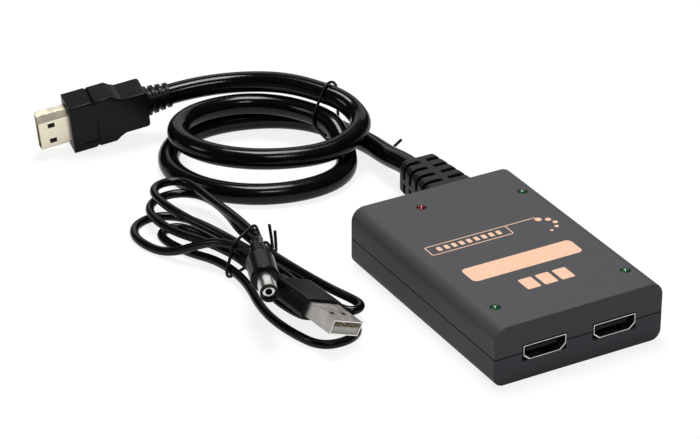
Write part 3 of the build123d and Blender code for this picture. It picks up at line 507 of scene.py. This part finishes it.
class Finishes:
    """Every material of the object, made once."""

    def __init__(self) -> None:
        """Make the materials."""
        self.case_top = TexturedPlastic("case_top_plastic", (0.053, 0.053, 0.059)).build()
        self.case_bottom = TexturedPlastic("case_bottom_plastic", (0.042, 0.043, 0.051)).build()
        self.lead = Jacket("video_lead_jacket").build()
        self.wire = Jacket(
            "power_lead_jacket", wave=5 * MM, depth=0.03 * MM, rough=0.18
        ).build()
        self.tie = Jacket(
            "tie_coating", base=(0.003, 0.003, 0.003), wave=2 * MM, rough=0.30
        ).build()
        self.relief = Moulding("relief_moulding").build()
        self.plug = Moulding("plug_moulding", base=(0.0022, 0.0022, 0.0030), rough=0.34).build()
        self.power_plug = Moulding(
            "power_plug_moulding", base=(0.0024, 0.0024, 0.0028), rough=0.27
        ).build()
        self.dark = Moulding("dark_insert", base=(0.004, 0.004, 0.004), rough=0.45).build()
        self.pale = Moulding("pale_insert", base=(0.55, 0.55, 0.52), rough=0.42).build()
        self.nickel = Plated("nickel_plate").build()
        self.warm = Plated(
            "warm_plate", base=(1.0, 0.92, 0.74), rough=0.34, stain=(0.97, 0.86, 0.66)
        ).build()
        self.bright = Plated("bright_barrel", base=(0.88, 0.87, 0.85), rough=0.22).build()
        self.silver = Plated(
            "usb_plate", base=(0.99, 0.95, 0.91), rough=0.34, stain=(0.95, 0.90, 0.85)
        ).build()
        self.gold = Plated(
            "gold_contact", base=(0.83, 0.60, 0.26), stain=(0.70, 0.48, 0.20)
        ).build()
        self.steel = Plated("screw_steel", base=(0.50, 0.50, 0.51), rough=0.36).build()
        self.red_lens = Lens("red_lens", (0.24, 0.006, 0.012), (0.050, 0.001, 0.003)).build()
        self.green_lens = Lens(
            "green_lens", (0.015, 0.130, 0.040), (0.003, 0.030, 0.009)
        ).build()
        self.ink = PrintInk("top_print_ink").build()
        self.board = SolderMask("board_mask").build()
        self.insulation = Jacket(
            "conductor_insulation", base=(0.30, 0.03, 0.025), wave=3 * MM
        ).build()


# Meshes and curves
def dress(piece: bpy.types.Object, material: bpy.types.Material) -> None:
    """Give a piece one material, and report it.

    Args:
        piece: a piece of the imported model, or a new one.
        material: its finish.
    """
    piece.data.materials.clear()
    piece.data.materials.append(material)
    LOG.info("dressed %s", piece.name)


def new_object(
    name: str, data: Any, material: bpy.types.Material, body: Body
) -> bpy.types.Object:
    """Put a mesh or curve in the scene, dressed and riding on a body.

    Args:
        name: the piece's name.
        data: its mesh or curve.
        material: its finish.
        body: what it moves with.

    Returns:
        The new object.
    """
    piece = bpy.data.objects.new(name, data)
    bpy.context.scene.collection.objects.link(piece)
    dress(piece, material)
    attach(piece, body.value)
    return piece


def spline_curve(
    name: str, routes: Sequence[np.ndarray], radius: float, resolution: int = 10, sides: int = 6
) -> bpy.types.Curve:
    """Round wire along smooth routes: each is a quadratic NURBS pulled by its points.

    Args:
        name: the curve's name.
        routes: each route's points, in metres.
        radius: the wire's radius.
        resolution: steps between two points.
        sides: quarter-circle steps of the round section.

    Returns:
        The curve.
    """
    curve = bpy.data.curves.new(name, "CURVE")
    curve.dimensions = "3D"
    curve.bevel_depth = radius
    curve.bevel_resolution = sides
    curve.resolution_u = resolution
    curve.use_fill_caps = True
    curve.twist_mode = "MINIMUM"
    for points in routes:
        spline = curve.splines.new("NURBS")
        spline.points.add(len(points) - 1)
        spline.points.foreach_set("co", np.c_[points, np.ones(len(points))].ravel())
        spline.order_u = 3
        spline.use_endpoint_u = True
        spline.use_smooth = True
    return curve


def rounded_outline(width: float, height: float, radius: float, steps: int = 6) -> np.ndarray:
    """Closed outline of a rounded rectangle about the origin, corner arcs in turn.

    Each corner's points are its middle plus the radius times cosine and sine of a quarter turn.

    Args:
        width: its size along the first axis.
        height: its size along the second axis.
        radius: of its corners.
        steps: points on each corner's quarter circle.

    Returns:
        The points, anticlockwise.
    """
    angles = np.linspace(0, math.pi / 2, steps)[None, :] + np.arange(4)[:, None] * math.pi / 2
    x = (width / 2 - radius) * np.array([1, -1, -1, 1])[:, None] + radius * np.cos(angles)
    y = (height / 2 - radius) * np.array([1, 1, -1, -1])[:, None] + radius * np.sin(angles)
    return np.stack([x, y], -1).reshape(-1, 2)


def plate_mesh(name: str, outlines: Iterable[Outline], low: float, high: float) -> bpy.types.Mesh:
    """Thin flat plates between two heights; each is an outline, filled or with an inner outline.

    Each outline is repeated at both heights, and walls join a ring of points to the next ring.

    Args:
        name: the mesh's name.
        outlines: outer outline and, for a frame, its inner outline of as many points.
        low: height of the undersides.
        high: height of the tops.

    Returns:
        The mesh.
    """
    vertices: list[np.ndarray] = []
    faces: list[tuple[int, ...]] = []
    start = 0
    for outer, inner in outlines:
        count = len(outer)
        ring = np.arange(count)
        after = np.roll(ring, -1)
        rings = [np.c_[outer, np.full(count, low)], np.c_[outer, np.full(count, high)]]
        if inner is not None:
            rings += [np.c_[inner, np.full(count, high)], np.c_[inner, np.full(count, low)]]
        total = len(rings)
        pairs = range(total if inner is not None else 1)
        for index in pairs:
            a, b = start + index * count, start + ((index + 1) % total) * count
            walls = np.c_[a + ring, a + after, b + after, b + ring]
            faces += [tuple(row) for row in walls.tolist()]
        if inner is None:
            faces.append(tuple((start + count + ring).tolist()))
            faces.append(tuple((start + ring[::-1]).tolist()))
        vertices += rings
        start += total * count
    mesh = bpy.data.meshes.new(name)
    mesh.from_pydata(np.vstack(vertices).tolist(), [], faces)
    mesh.validate()
    return mesh


def tight_ring(strands: np.ndarray, reach: float) -> np.ndarray:
    """Closed ring drawn tight round strands: at each angle, the strand furthest out plus the reach.

    Args:
        strands: the strands' middles in the ring's plane.
        reach: from a strand's middle to the ring's own middle.

    Returns:
        The ring's points, the last one repeating the first.
    """
    angles = np.linspace(0, 2 * math.pi, RING_STEPS + 1)
    around = np.stack([np.cos(angles), np.sin(angles)], 1)
    furthest = (around @ strands.T).argmax(1)
    return strands[furthest] + around * reach


def unit(vector: np.ndarray) -> np.ndarray:
    """A vector at length 1."""
    return vector / np.linalg.norm(vector)


def turn_points(
    start: np.ndarray, start_way: np.ndarray, end: np.ndarray, end_way: np.ndarray
) -> np.ndarray:
    """The two points that pull a cord from one station round to the next.

    One lies ahead of the first station and one behind the second, by the same reach, which is also
    half their distance, so the cord turns evenly on both sides of their middle.

    Args:
        start: first station.
        start_way: direction there.
        end: second station.
        end_way: direction there.

    Returns:
        The two points.
    """
    gap, ways = end - start, start_way + end_way
    spread = 2 * (1 - start_way @ end_way)
    along = gap @ ways
    if spread < STRAIGHT:
        reach = gap @ gap / (4 * gap @ end_way)
    else:
        reach = (math.sqrt(along * along + spread * (gap @ gap)) - along) / spread
    return np.stack([start + start_way * reach, end - end_way * reach])


def merge_loose(piece: bpy.types.Object) -> None:
    """Merge the loose triangles of a piece, and drop those without an area.

    Args:
        piece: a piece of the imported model.
    """
    merge = piece.modifiers.new("merge", "WELD")
    merge.merge_threshold = MERGE_REACH


def soften(piece: bpy.types.Object, width: float) -> None:
    """Merge a rigid piece's loose triangles and round its sharp edges a little.

    Args:
        piece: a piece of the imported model.
        width: how far each sharp edge is rounded, in metres.
    """
    merge_loose(piece)
    bevel = piece.modifiers.new("soft_edges", "BEVEL")
    bevel.width = width
    bevel.segments = 2
    bevel.limit_method = "ANGLE"
    bevel.angle_limit = SOFT_ANGLE
    bevel.use_clamp_overlap = True


def ease(turn: np.ndarray, start: float, end: float) -> np.ndarray:
    """Smooth step from 0 at the start turn to 1 at the end turn."""
    step = np.clip((turn - start) / (end - start), 0, 1)
    return step * step * (3 - 2 * step)


# The box
@dataclass
class Marks:
    """Plain printed marks on the top: a solid bar, blocks, a ruled frame and a dotted arc.

    A shape's numbers are its middle, width and height, in millimetres.
    """

    top: float = 19.5 * MM
    thickness: float = 0.03 * MM
    bar: Rect = (-0.6, -11.2, 38.2, 8.2)
    bar_corner: float = 1.7
    frame: Rect = (-8.0, 6.9, 28.6, 5.5)
    frame_corner: float = 0.9
    frame_line: float = 0.35
    dashes: int = 9
    dash_pitch: float = 2.6
    dash: Pair = (1.5, 2.3)
    dash_corner: float = 0.3
    blocks: tuple[Rect, ...] = (
        (-5.9, -23.6, 4.6, 6.2), (0.0, -23.6, 4.6, 6.2), (5.9, -23.6, 4.6, 6.2),
    )
    block_corner: float = 0.5
    rule: Rect = (11.6, 9.48, 10.8, 0.35)
    rule_corner: float = 0.1
    dots: int = 5
    dot_middle: Pair = (15.9, 4.2)
    dot_arc: float = 5.0
    dot_squash: float = 0.8
    dot_sweep: Pair = (-75, 150)
    dot_size: Pair = (1.1, 0.28)
    dot_corner_divisor: float = 2.01

    def outline(self, x: float, y: float, width: float, height: float, corner: float) -> np.ndarray:
        """Rounded outline at its place on the top, in metres."""
        return (rounded_outline(width, height, corner) + np.array([x, y])) * MM

    def dot(self, index: int) -> np.ndarray:
        """Outline of one dot: the dots grow along an arc squashed along Y.

        Args:
            index: the dot's place along the arc.

        Returns:
            The outline, in metres.
        """
        first, sweep = self.dot_sweep
        angle = math.radians(first + sweep * index / (self.dots - 1))
        x = self.dot_middle[0] + self.dot_arc * math.cos(angle)
        y = self.dot_middle[1] + self.dot_arc * self.dot_squash * math.sin(angle)
        size = self.dot_size[0] + self.dot_size[1] * index
        return self.outline(x, y, size, size, size / self.dot_corner_divisor)

    def build(self, finishes: Finishes) -> bpy.types.Object:
        """Make the marks as one piece.

        Args:
            finishes: the object's materials.

        Returns:
            The printed marks.
        """
        x, y, width, height = self.frame
        corner, line = self.frame_corner, self.frame_line
        inside = self.outline(x, y, width - 2 * line, height - 2 * line, corner - line)
        first = x - (self.dashes - 1) * self.dash_pitch / 2
        outlines: list[Outline] = [
            (self.outline(*self.bar, self.bar_corner), None),
            (self.outline(x, y, width, height, corner), inside),
            (self.outline(*self.rule, self.rule_corner), None),
        ]
        outlines += [(self.outline(*block, self.block_corner), None) for block in self.blocks]
        for index in range(self.dashes):
            dash_x = first + index * self.dash_pitch
            outlines.append((self.outline(dash_x, y, *self.dash, self.dash_corner), None))
        outlines += [(self.dot(index), None) for index in range(self.dots)]
        low, high = self.top - self.thickness, self.top + self.thickness
        mesh = plate_mesh("top_marks", outlines, low, high)
        piece = new_object("top_marks", mesh, finishes.ink, Body.SPLITTER)
        return piece


@dataclass
class Box:
    """The case with its sockets, lamps, board and strain relief."""

    soft_edge: float = 0.3 * MM
    softened: tuple[str, ...] = ("top_case", "bottom_case", "strain_relief")
    lamps: tuple[str, ...] = ("power_light", "input_light", "output_light_1", "output_light_2")
    marks: Marks = field(default_factory=Marks)

    def build(self, nodes: Nodes, finishes: Finishes) -> None:
        """Dress the rigid pieces of the box.

        Args:
            nodes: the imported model's pieces.
            finishes: the object's materials.
        """
        groups: dict[str, bpy.types.Material] = {
            "top_case": finishes.case_top,
            "bottom_case": finishes.case_bottom,
            "case_screws": finishes.steel,
            "power_light": finishes.red_lens,
            "input_light": finishes.green_lens,
            "output_light_1": finishes.green_lens,
            "output_light_2": finishes.green_lens,
            "light_legs": finishes.nickel,
            "circuit_board": finishes.board,
            "splitter_chip": finishes.dark,
            "support_chips": finishes.dark,
            "chip_resistors": finishes.dark,
            "crystal": finishes.bright,
            "capacitors": finishes.bright,
            "dc_jack_body": finishes.dark,
            "dc_jack_pin": finishes.bright,
            "dc_jack_spring": finishes.nickel,
            "strain_relief": finishes.relief,
            "lead_conductors": finishes.insulation,
        }
        for number in (1, 2):
            groups[f"output_socket_shell_{number}"] = finishes.nickel
            groups[f"output_socket_tongue_{number}"] = finishes.dark
            groups[f"output_socket_contacts_{number}"] = finishes.gold
        for name, material in groups.items():
            dress(nodes[name], material)
        for name in self.softened:
            soften(nodes[name], self.soft_edge)
        for name in self.lamps:
            merge_loose(nodes[name])
        self.marks.build(finishes)


# The captive lead
@dataclass
class VideoLead:
    """The captive lead: a stretch from the relief, a coil of two turns, a stretch to its plug.

    Places along the coil are turns. A climb has the turns where it starts and ends, and its height.
    """

    diameter: float = 7.0
    length: float = 441.5
    exit: Point = (10.9, 69.6, 9.2)
    exit_run: float = 6.7
    middle: Point = (10.1, 86.6, 7.6)
    start_run: float = 16.6
    end_run: float = 15.7
    far_middle: Point = (-14.66, 142.19, 16.93)
    plug_run: float = 8.7
    plug_place: Point = (-38.27, 149.14, 14.65)
    plug_heading: Point = (-0.979, 0.151, -0.135)
    plug_edge: float = 0.25 * MM
    turns: Pair = (0.05, 2.04)
    points_per_turn: int = 24
    coil_middle: Pair = (-21.0, 113.9)
    middle_drift: Pair = (4.2, 2.5)
    east_axis: Pair = (27.9, -3.2)
    east_drift: Pair = (-2.4, -0.3)
    north_axis: Pair = (-2.6, 25.8)
    north_drift: Pair = (-5.4, -5.1)
    tuck: float = 3.8
    tuck_turns: tuple[float, ...] = (0.80, 0.97, 1.04, 1.22)
    flare: float = 2.6
    flare_end: float = 0.22
    start_lift: float = 1.4
    start_lift_end: float = 0.25
    climbs: tuple[Point, ...] = (
        (0.88, 1.03, 7.4), (1.03, 1.15, 0.2), (1.40, 1.65, -0.6),
        (1.74, 1.92, 3.2), (1.92, 2.05, 3.6),
    )

    def coil(self, turn: np.ndarray) -> np.ndarray:
        """Middle of the lead in the coil.

        It is the coil's middle plus one half axis times the turn's cosine and the other times its
        sine. Middle and axes drift with each turn, and the climbs lift the lead over itself.

        Args:
            turn: turns from +X towards +Y.

        Returns:
            The points, in millimetres.
        """
        angle = 2 * math.pi * turn
        change = turn - 1
        east = np.outer(np.ones_like(turn), self.east_axis) + np.outer(change, self.east_drift)
        north = np.outer(np.ones_like(turn), self.north_axis) + np.outer(change, self.north_drift)
        begin, full, hold, end = self.tuck_turns
        inwards = self.tuck * (ease(turn, begin, full) - ease(turn, hold, end))
        inwards = inwards - self.flare * (1 - ease(turn, 0, self.flare_end))
        circle = np.stack([np.cos(angle), np.sin(angle)], 1)
        flat = np.array(self.coil_middle) + np.outer(change, self.middle_drift)
        flat = flat + east * circle[:, :1] + north * circle[:, 1:] - circle * inwards[:, None]
        height = self.diameter / 2 + self.start_lift * (1 - ease(turn, 0, self.start_lift_end))
        height = height + sum(climb * ease(turn, start, end) for start, end, climb in self.climbs)
        return np.c_[flat, height]

    def way(self, turn: float, step: float = 1e-4) -> np.ndarray:
        """Direction of the lead in the coil at a turn, from two places a step either side."""
        pair = self.coil(np.array([turn - step, turn + step]))
        return unit(pair[1] - pair[0])

    def route(self) -> np.ndarray:
        """The lead's own points from the relief to the plug.

        Returns:
            The points, in millimetres.
        """
        first, last = self.turns
        count = round((last - first) * self.points_per_turn)
        coil = self.coil(np.linspace(first, last, count + 1))
        leave = np.array(self.exit)
        heading = unit(np.array(self.plug_heading))
        plug = np.array(self.plug_place)
        return np.vstack([
            leave,
            leave + (0, self.exit_run, 0),
            self.middle,
            coil[0] - self.way(first) * self.start_run,
            coil,
            coil[-1] + self.way(last) * self.end_run,
            self.far_middle,
            plug - heading * self.plug_run,
            plug,
        ])

    def build(self, nodes: Nodes, finishes: Finishes) -> None:
        """Make the lead and dress its plug.

        Args:
            nodes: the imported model's pieces.
            finishes: the object's materials.
        """
        plug = {
            "plug_grip": finishes.plug, "plug_shell": finishes.warm,
            "plug_insert": finishes.dark, "plug_contacts": finishes.gold,
        }
        for name, material in plug.items():
            dress(nodes[name], material)
        soften(nodes["plug_grip"], self.plug_edge)
        curve = spline_curve("video_lead", [self.route() * MM], self.diameter / 2 * MM, sides=10)
        lead = new_object("video_lead", curve, finishes.lead, Body.SPLITTER)
        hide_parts("input_lead_start", "input_lead_coil", "input_lead_end")
        tie = CoilTie().build(self, finishes)


@dataclass
class CoilTie:
    """Wire tie round the three strands of the coil where its turns close."""

    wire: float = 1.0
    gap: float = 0.2
    way: Point = (-0.406, 0.914, 0.0)
    strand_turns: tuple[Pair, ...] = ((0.97, 1.12), (1.97, 2.12))
    search_steps: int = 400
    tail_share: float = -0.1
    tail_run: float = 2.2
    tail: tuple[Point, ...] = (
        (12.6, 106.0, 1.0), (14.0, 98.8, 1.1), (14.9, 97.7, 1.3), (24.0, 102.3, 3.0),
    )
    tail_ease: float = 0.1

    def ring(self, lead: VideoLead) -> tuple[np.ndarray, np.ndarray]:
        """Ring and tail of the tie.

        The ring's plane stands square to the way at the coil's start. Each strand is where the
        coil crosses that plane, and the ring is their outline, drawn out by the wire.

        Args:
            lead: the lead that the tie holds.

        Returns:
            The ring's points and the tail's, in millimetres.
        """
        way = unit(np.array(self.way))
        side = np.array([way[1], -way[0], 0.0])
        origin = lead.coil(np.array([lead.turns[0]]))[0]
        strands = [np.zeros(2)]
        for low, high in self.strand_turns:
            points = lead.coil(np.linspace(low, high, self.search_steps))
            spot = points[np.abs((points - origin) @ way).argmin()] - origin
            strands.append(np.array([spot @ side, spot[2]]))
        reach = lead.diameter / 2 + self.gap + self.wire / 2
        ring = tight_ring(np.array(strands), reach)
        rise = strands[2]
        square = unit(np.array([rise[1], -rise[0]]))
        foot = rise * self.tail_share + square * reach
        turn = foot + square * (self.tail_run + self.wire / 2)

        def world(flat: np.ndarray) -> np.ndarray:
            """Points of the tie's plane as points of the part."""
            return origin + np.outer(flat[:, 0], side) + np.outer(flat[:, 1], (0, 0, 1))

        near = world(np.stack([foot, (foot + turn) / 2, turn]))
        first = np.array(self.tail[0])
        eased = near[-1] * (1 - self.tail_ease) + first * self.tail_ease
        return world(ring), np.vstack([near, eased, self.tail])

    def build(self, lead: VideoLead, finishes: Finishes) -> bpy.types.Object:
        """Make the tie.

        Args:
            lead: the lead that the tie holds.
            finishes: the object's materials.

        Returns:
            The tie.
        """
        routes = [points * MM for points in self.ring(lead)]
        curve = spline_curve(
            "coil_wire_tie", routes, self.wire / 2 * MM, resolution=4, sides=4
        )
        tie = new_object("coil_wire_tie", curve, finishes.tie, Body.SPLITTER)
        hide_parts("coil_tie")
        return tie


# The power lead
@dataclass
class PowerLead:
    """Thin lead in a hank drawn in at its waist, with a type A plug and a barrel plug.

    A loop's numbers are its side of the waist, its layer, where its turn starts and ends along the
    hank, its middle across it and its half width. A pass has its place across and its layer.
    """

    diameter: float = 2.8
    waist: Pair = (-59.43, 54.99)
    heading: float = -66.967
    layers: tuple[float, ...] = (1.4, 4.8, 8.2)
    lift: float = 1.35
    first_lift: float = 1.6
    loops: tuple[Loop, ...] = (
        (-1, 2, 39.0, 47.0, 14.2, 7.0),
        (1, 1, 42.0, 47.3, -3.6, 3.3),
        (-1, 1, 34.0, 45.3, 11.6, 10.6),
        (1, 0, 27.0, 36.0, -7.2, 4.4),
        (-1, 0, 25.0, 34.0, 2.2, 5.6),
        (1, 0, 33.0, 53.0, -10.8, 10.2),
        (-1, 0, 31.0, 43.5, 2.0, 10.6),
    )
    passes: tuple[tuple[float, int], ...] = (
        (4.4, 2), (2.2, 1), (6.6, 1), (-3.4, 1), (1.9, 0), (-6.0, 0), (6.2, 0), (-3.0, 2),
    )
    usb_place: Point = (-60.95, 28.1, 10.35)
    usb_heading: Point = (0.167, -0.983, -0.081)
    usb_run: float = 5.8
    usb_middle: Point = (-58.67, 41.72, 10.0)
    usb_waist_run: float = 5.8
    dc_place: Point = (-62.87, 39.85, 15.96)
    dc_heading: Point = (-0.35, -0.935, 0.053)
    dc_run: float = 5.2
    dc_middle: Point = (-56.63, 49.83, 12.12)
    dc_waist_run: float = 3.6
    length: float = 734.3
    tie_wire: float = 1.0
    tie_gap: float = 0.3
    tails: tuple[tuple[Point, ...], ...] = (
        (
            (0, 8.7, 5.2), (0, 10.2, 5.2), (0.6, 10.6, 5.2),
            (4.1, 8.9, 5.0), (4.5, 8.7, 5.9), (4.2, 7.5, 14.0),
        ),
        (
            (0, 8.5, 3.4), (0, 10.3, 3.4), (0.6, 10.7, 3.4),
            (4.2, 10.2, 3.4), (4.8, 10.1, 4.2), (5.0, 9.2, 11.3),
        ),
    )

    def world(self, points: np.ndarray) -> np.ndarray:
        """Turn points of the hank's own frame into points of the part.

        Args:
            points: one point or a row of them, along, across and above the hank.

        Returns:
            The points of the part, in millimetres.
        """
        angle = math.radians(self.heading)
        along = np.array([math.cos(angle), math.sin(angle), 0.0])
        across = np.array([-math.sin(angle), math.cos(angle), 0.0])
        points = np.atleast_2d(np.asarray(points, float))
        flat = np.outer(points[:, 0], along) + np.outer(points[:, 1], across)
        return flat + np.outer(points[:, 2], (0, 0, 1)) + np.array([*self.waist, 0.0])

    def spots(self) -> np.ndarray:
        """Find the middle of each strand at the waist.

        Returns:
            The points, in the hank's own frame.
        """
        rows = [(0.0, across, self.layers[layer] + self.lift) for across, layer in self.passes]
        spots = np.array(rows)
        spots[0, 2] += self.first_lift
        return spots

    def stations(self) -> list[tuple[np.ndarray, np.ndarray]]:
        """Stations of the hank: a pass at the waist, then round one loop, and so on.

        Returns:
            Each station's point and direction, in the hank's own frame.
        """
        spots = self.spots()
        loops = []
        for side, layer, bend, tip, middle, half in self.loops:
            ahead = unit(np.array([side, middle / bend, 0.0]))
            across = np.array([ahead[1], -ahead[0], 0.0])
            root = np.array([side * bend, middle, self.layers[layer]])
            loops.append([
                (root + across * half, ahead),
                (root + ahead * (tip - bend), -across),
                (root - across * half, -ahead),
            ])
        stations: list[tuple[np.ndarray, np.ndarray]] = []
        for index, spot in enumerate(spots):
            before = loops[index - 1][2][0] if index else spot
            after = loops[index][0][0] if index < len(loops) else spot
            stations.append((spot, unit((after - before) * (1, 1, 0))))
            if index < len(loops):
                stations += loops[index]
        return stations

    def route(self) -> np.ndarray:
        """Lay the lead from the type A plug to the barrel plug.

        Returns:
            The lead's own points, in millimetres.
        """
        stations = self.stations()
        turns = [turn_points(*first, *second) for first, second in zip(stations, stations[1:])]
        hank = np.vstack([stations[0][0], *turns, stations[-1][0]])
        hank = self.world(hank)[::-1]
        zero = self.world(np.zeros((1, 3)))[0]
        usb_way = self.world(stations[-1][1])[0] - zero
        dc_way = self.world(stations[0][1])[0] - zero
        usb, dc = np.array(self.usb_place), np.array(self.dc_place)
        return np.vstack([
            usb,
            usb - unit(np.array(self.usb_heading)) * self.usb_run,
            self.usb_middle,
            hank[0] + usb_way * self.usb_waist_run,
            hank,
            hank[-1] - dc_way * self.dc_waist_run,
            self.dc_middle,
            dc - unit(np.array(self.dc_heading)) * self.dc_run,
            dc,
        ])

    def tie(self, finishes: Finishes) -> bpy.types.Object:
        """Make the wire tie round the waist, with its two ends standing up.

        Args:
            finishes: the object's materials.

        Returns:
            The tie.
        """
        reach = (self.diameter + self.tie_wire) / 2 + self.tie_gap
        flat = tight_ring(self.spots()[:, 1:], reach)
        ring = self.world(np.c_[np.zeros(len(flat)), flat])
        routes = [ring * MM] + [self.world(np.array(tail)) * MM for tail in self.tails]
        radius = self.tie_wire / 2 * MM
        curve = spline_curve("power_wire_tie", routes, radius, resolution=6, sides=4)
        tie = new_object("power_wire_tie", curve, finishes.tie, Body.POWER_LEAD)
        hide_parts("power_cord_tie")
        return tie

    def build(self, nodes: Nodes, finishes: Finishes) -> None:
        """Make the lead and dress its plugs.

        Args:
            nodes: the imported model's pieces.
            finishes: the object's materials.
        """
        groups = {
            "usb_grip": finishes.power_plug, "usb_shell": finishes.silver,
            "usb_insert": finishes.pale, "usb_contacts": finishes.gold,
            "dc_grip": finishes.power_plug, "dc_barrel": finishes.bright,
            "dc_tip_ring": finishes.dark, "dc_inner_contact": finishes.bright,
        }
        for name, material in groups.items():
            dress(nodes[name], material)
        radius = self.diameter / 2 * MM
        curve = spline_curve("power_wire", [self.route() * MM], radius, resolution=20, sides=6)
        wire = new_object("power_wire", curve, finishes.wire, Body.POWER_LEAD)
        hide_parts("power_cord_start", "power_cord_hank", "power_cord_end")
        tie = self.tie(finishes)


# Camera, floor and light
@dataclass(frozen=True)
class Lamp:
    """A soft rectangular light: its name, where it hangs, its width and height, and its power."""

    name: str
    place: Point
    size: Pair
    watts: float


@dataclass
class Studio:
    """Camera at the photograph's viewing angle, a plain pale floor and soft light."""

    camera_place: Point = (-0.426906, -0.665845, 0.457500)
    camera_right: Point = (0.87185648, -0.48976146, 0.0)
    camera_up: Point = (0.23406842, 0.41668054, 0.87840156)
    camera_back: Point = (-0.43020723, -0.76584009, 0.47792332)
    lens: float = 155.143
    sensor: float = 36.0
    clip_start: float = 0.01
    floor_half: float = 3.0
    floor_colour: Colour = (0.56, 0.56, 0.57)
    floor_glow: float = 1.2
    camera_share: float = 0.70
    gloss_share: float = 0.40
    world_dim: float = 0.05
    target: Point = (-0.02, 0.05, 0.0)
    overhead: float = 0.9
    lamps: tuple[Lamp, ...] = (
        Lamp("top_light", (0.06, 0.24, 1.15), (0.44, 0.44), 12.0),
        Lamp("key_light", (-0.20, -0.50, 0.78), (0.24, 0.10), 1.6),
        Lamp("side_light", (-0.85, 0.25, 0.55), (0.26, 0.26), 0.9),
        Lamp("back_panel", (0.41, 0.82, 0.50), (1.00, 0.50), 1.4),
    )

    def add(self, name: str, data: Any) -> bpy.types.Object:
        """Link a new object of the studio to the scene.

        Args:
            name: the object's name.
            data: its mesh, light or camera.

        Returns:
            The object.
        """
        item = bpy.data.objects.new(name, data)
        bpy.context.scene.collection.objects.link(item)
        return item

    def camera(self) -> None:
        """Make the camera."""
        data = bpy.data.cameras.new("camera")
        data.lens = self.lens
        data.sensor_width = self.sensor
        data.clip_start = self.clip_start
        camera = self.add("camera", data)
        axes = np.array([self.camera_right, self.camera_up, self.camera_back]).T
        camera.matrix_world = (
            Matrix.Translation(self.camera_place) @ Matrix(axes.tolist()).to_4x4()
        )
        bpy.context.scene.camera = camera

    def floor(self) -> None:
        """Make the floor: it keeps the object's shadow, and looks near white to the camera."""
        half = self.floor_half
        mesh = bpy.data.meshes.new("floor")
        corners = [(-half, -half, 0), (half, -half, 0), (half, half, 0), (-half, half, 0)]
        mesh.from_pydata(corners, [], [(0, 1, 2, 3)])
        floor = self.add("floor", mesh)
        g = Graph("floor_paper")
        g.finish(Base_Color=self.floor_colour, Roughness=0.9, Specular_IOR_Level=0.1)
        path = g.tree.nodes.new("ShaderNodeLightPath")
        camera_ray = Value(g, path.outputs["Is Camera Ray"])
        glossy_ray = Value(g, path.outputs["Is Glossy Ray"])
        seen = camera_ray * self.camera_share + glossy_ray * self.gloss_share
        glow = g.add(
            "ShaderNodeEmission", {}, {"Color": (1.0, 1.0, 1.0), "Strength": self.floor_glow}
        )
        paper = Value(g, g.shader.outputs[0])
        mixed = g.add("ShaderNodeMixShader", {}, {0: seen, 1: paper, 2: glow})
        g.tree.links.new(mixed.socket, g.output.inputs["Surface"])
        mesh.materials.append(g.material)
        floor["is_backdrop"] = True

    def world(self) -> None:
        """Make the world: white where the camera looks straight at it, dim as a light."""
        world = bpy.data.worlds.new("world")
        bpy.context.scene.world = world
        world.use_nodes = True
        tree = world.node_tree
        tree.nodes.clear()
        output = tree.nodes.new("ShaderNodeOutputWorld")
        path = tree.nodes.new("ShaderNodeLightPath")
        mix = tree.nodes.new("ShaderNodeMixShader")
        tree.links.new(path.outputs["Is Camera Ray"], mix.inputs[0])
        for place, strength in ((1, self.world_dim), (2, 1.0)):
            light = tree.nodes.new("ShaderNodeBackground")
            light.inputs["Color"].default_value = (1, 1, 1, 1)
            light.inputs["Strength"].default_value = strength
            tree.links.new(light.outputs[0], mix.inputs[place])
        tree.links.new(mix.outputs[0], output.inputs["Surface"])

    def light(self, lamp: Lamp) -> None:
        """Hang a lamp so that it faces the object.

        Args:
            lamp: the light to add.
        """
        data = bpy.data.lights.new(lamp.name, "AREA")
        data.shape = "RECTANGLE"
        data.size, data.size_y = lamp.size
        data.energy = lamp.watts
        back = unit(np.array(lamp.place) - np.array(self.target))
        upright = (0.0, 1.0, 0.0) if abs(back[2]) > self.overhead else (0.0, 0.0, 1.0)
        right = unit(np.cross(upright, back))
        axes = np.array([right, np.cross(back, right), back]).T
        item = self.add(lamp.name, data)
        item.matrix_world = Matrix.Translation(lamp.place) @ Matrix(axes.tolist()).to_4x4()

    def build(self) -> None:
        """Make the whole studio."""
        bpy.context.scene.view_settings.view_transform = "Standard"
        self.camera()
        self.floor()
        self.world()
        for lamp in self.lamps:
            self.light(lamp)


def main() -> list[Sequence[float]]:
    """Build the dressed model.

    Returns:
        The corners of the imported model's box.
    """
    logging.basicConfig(level=logging.INFO, format="%(name)s: %(message)s")
    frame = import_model()
    packed_box = [list(corner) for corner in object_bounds()]
    Studio().build()
    finishes = Finishes()
    nodes = frame["nodes"]
    VideoLead().build(nodes, finishes)
    PowerLead().build(nodes, finishes)
    Box().build(nodes, finishes)
    return packed_box


if __name__ == "__main__":
    cad_box = main()
    bpy.context.view_layer.update()
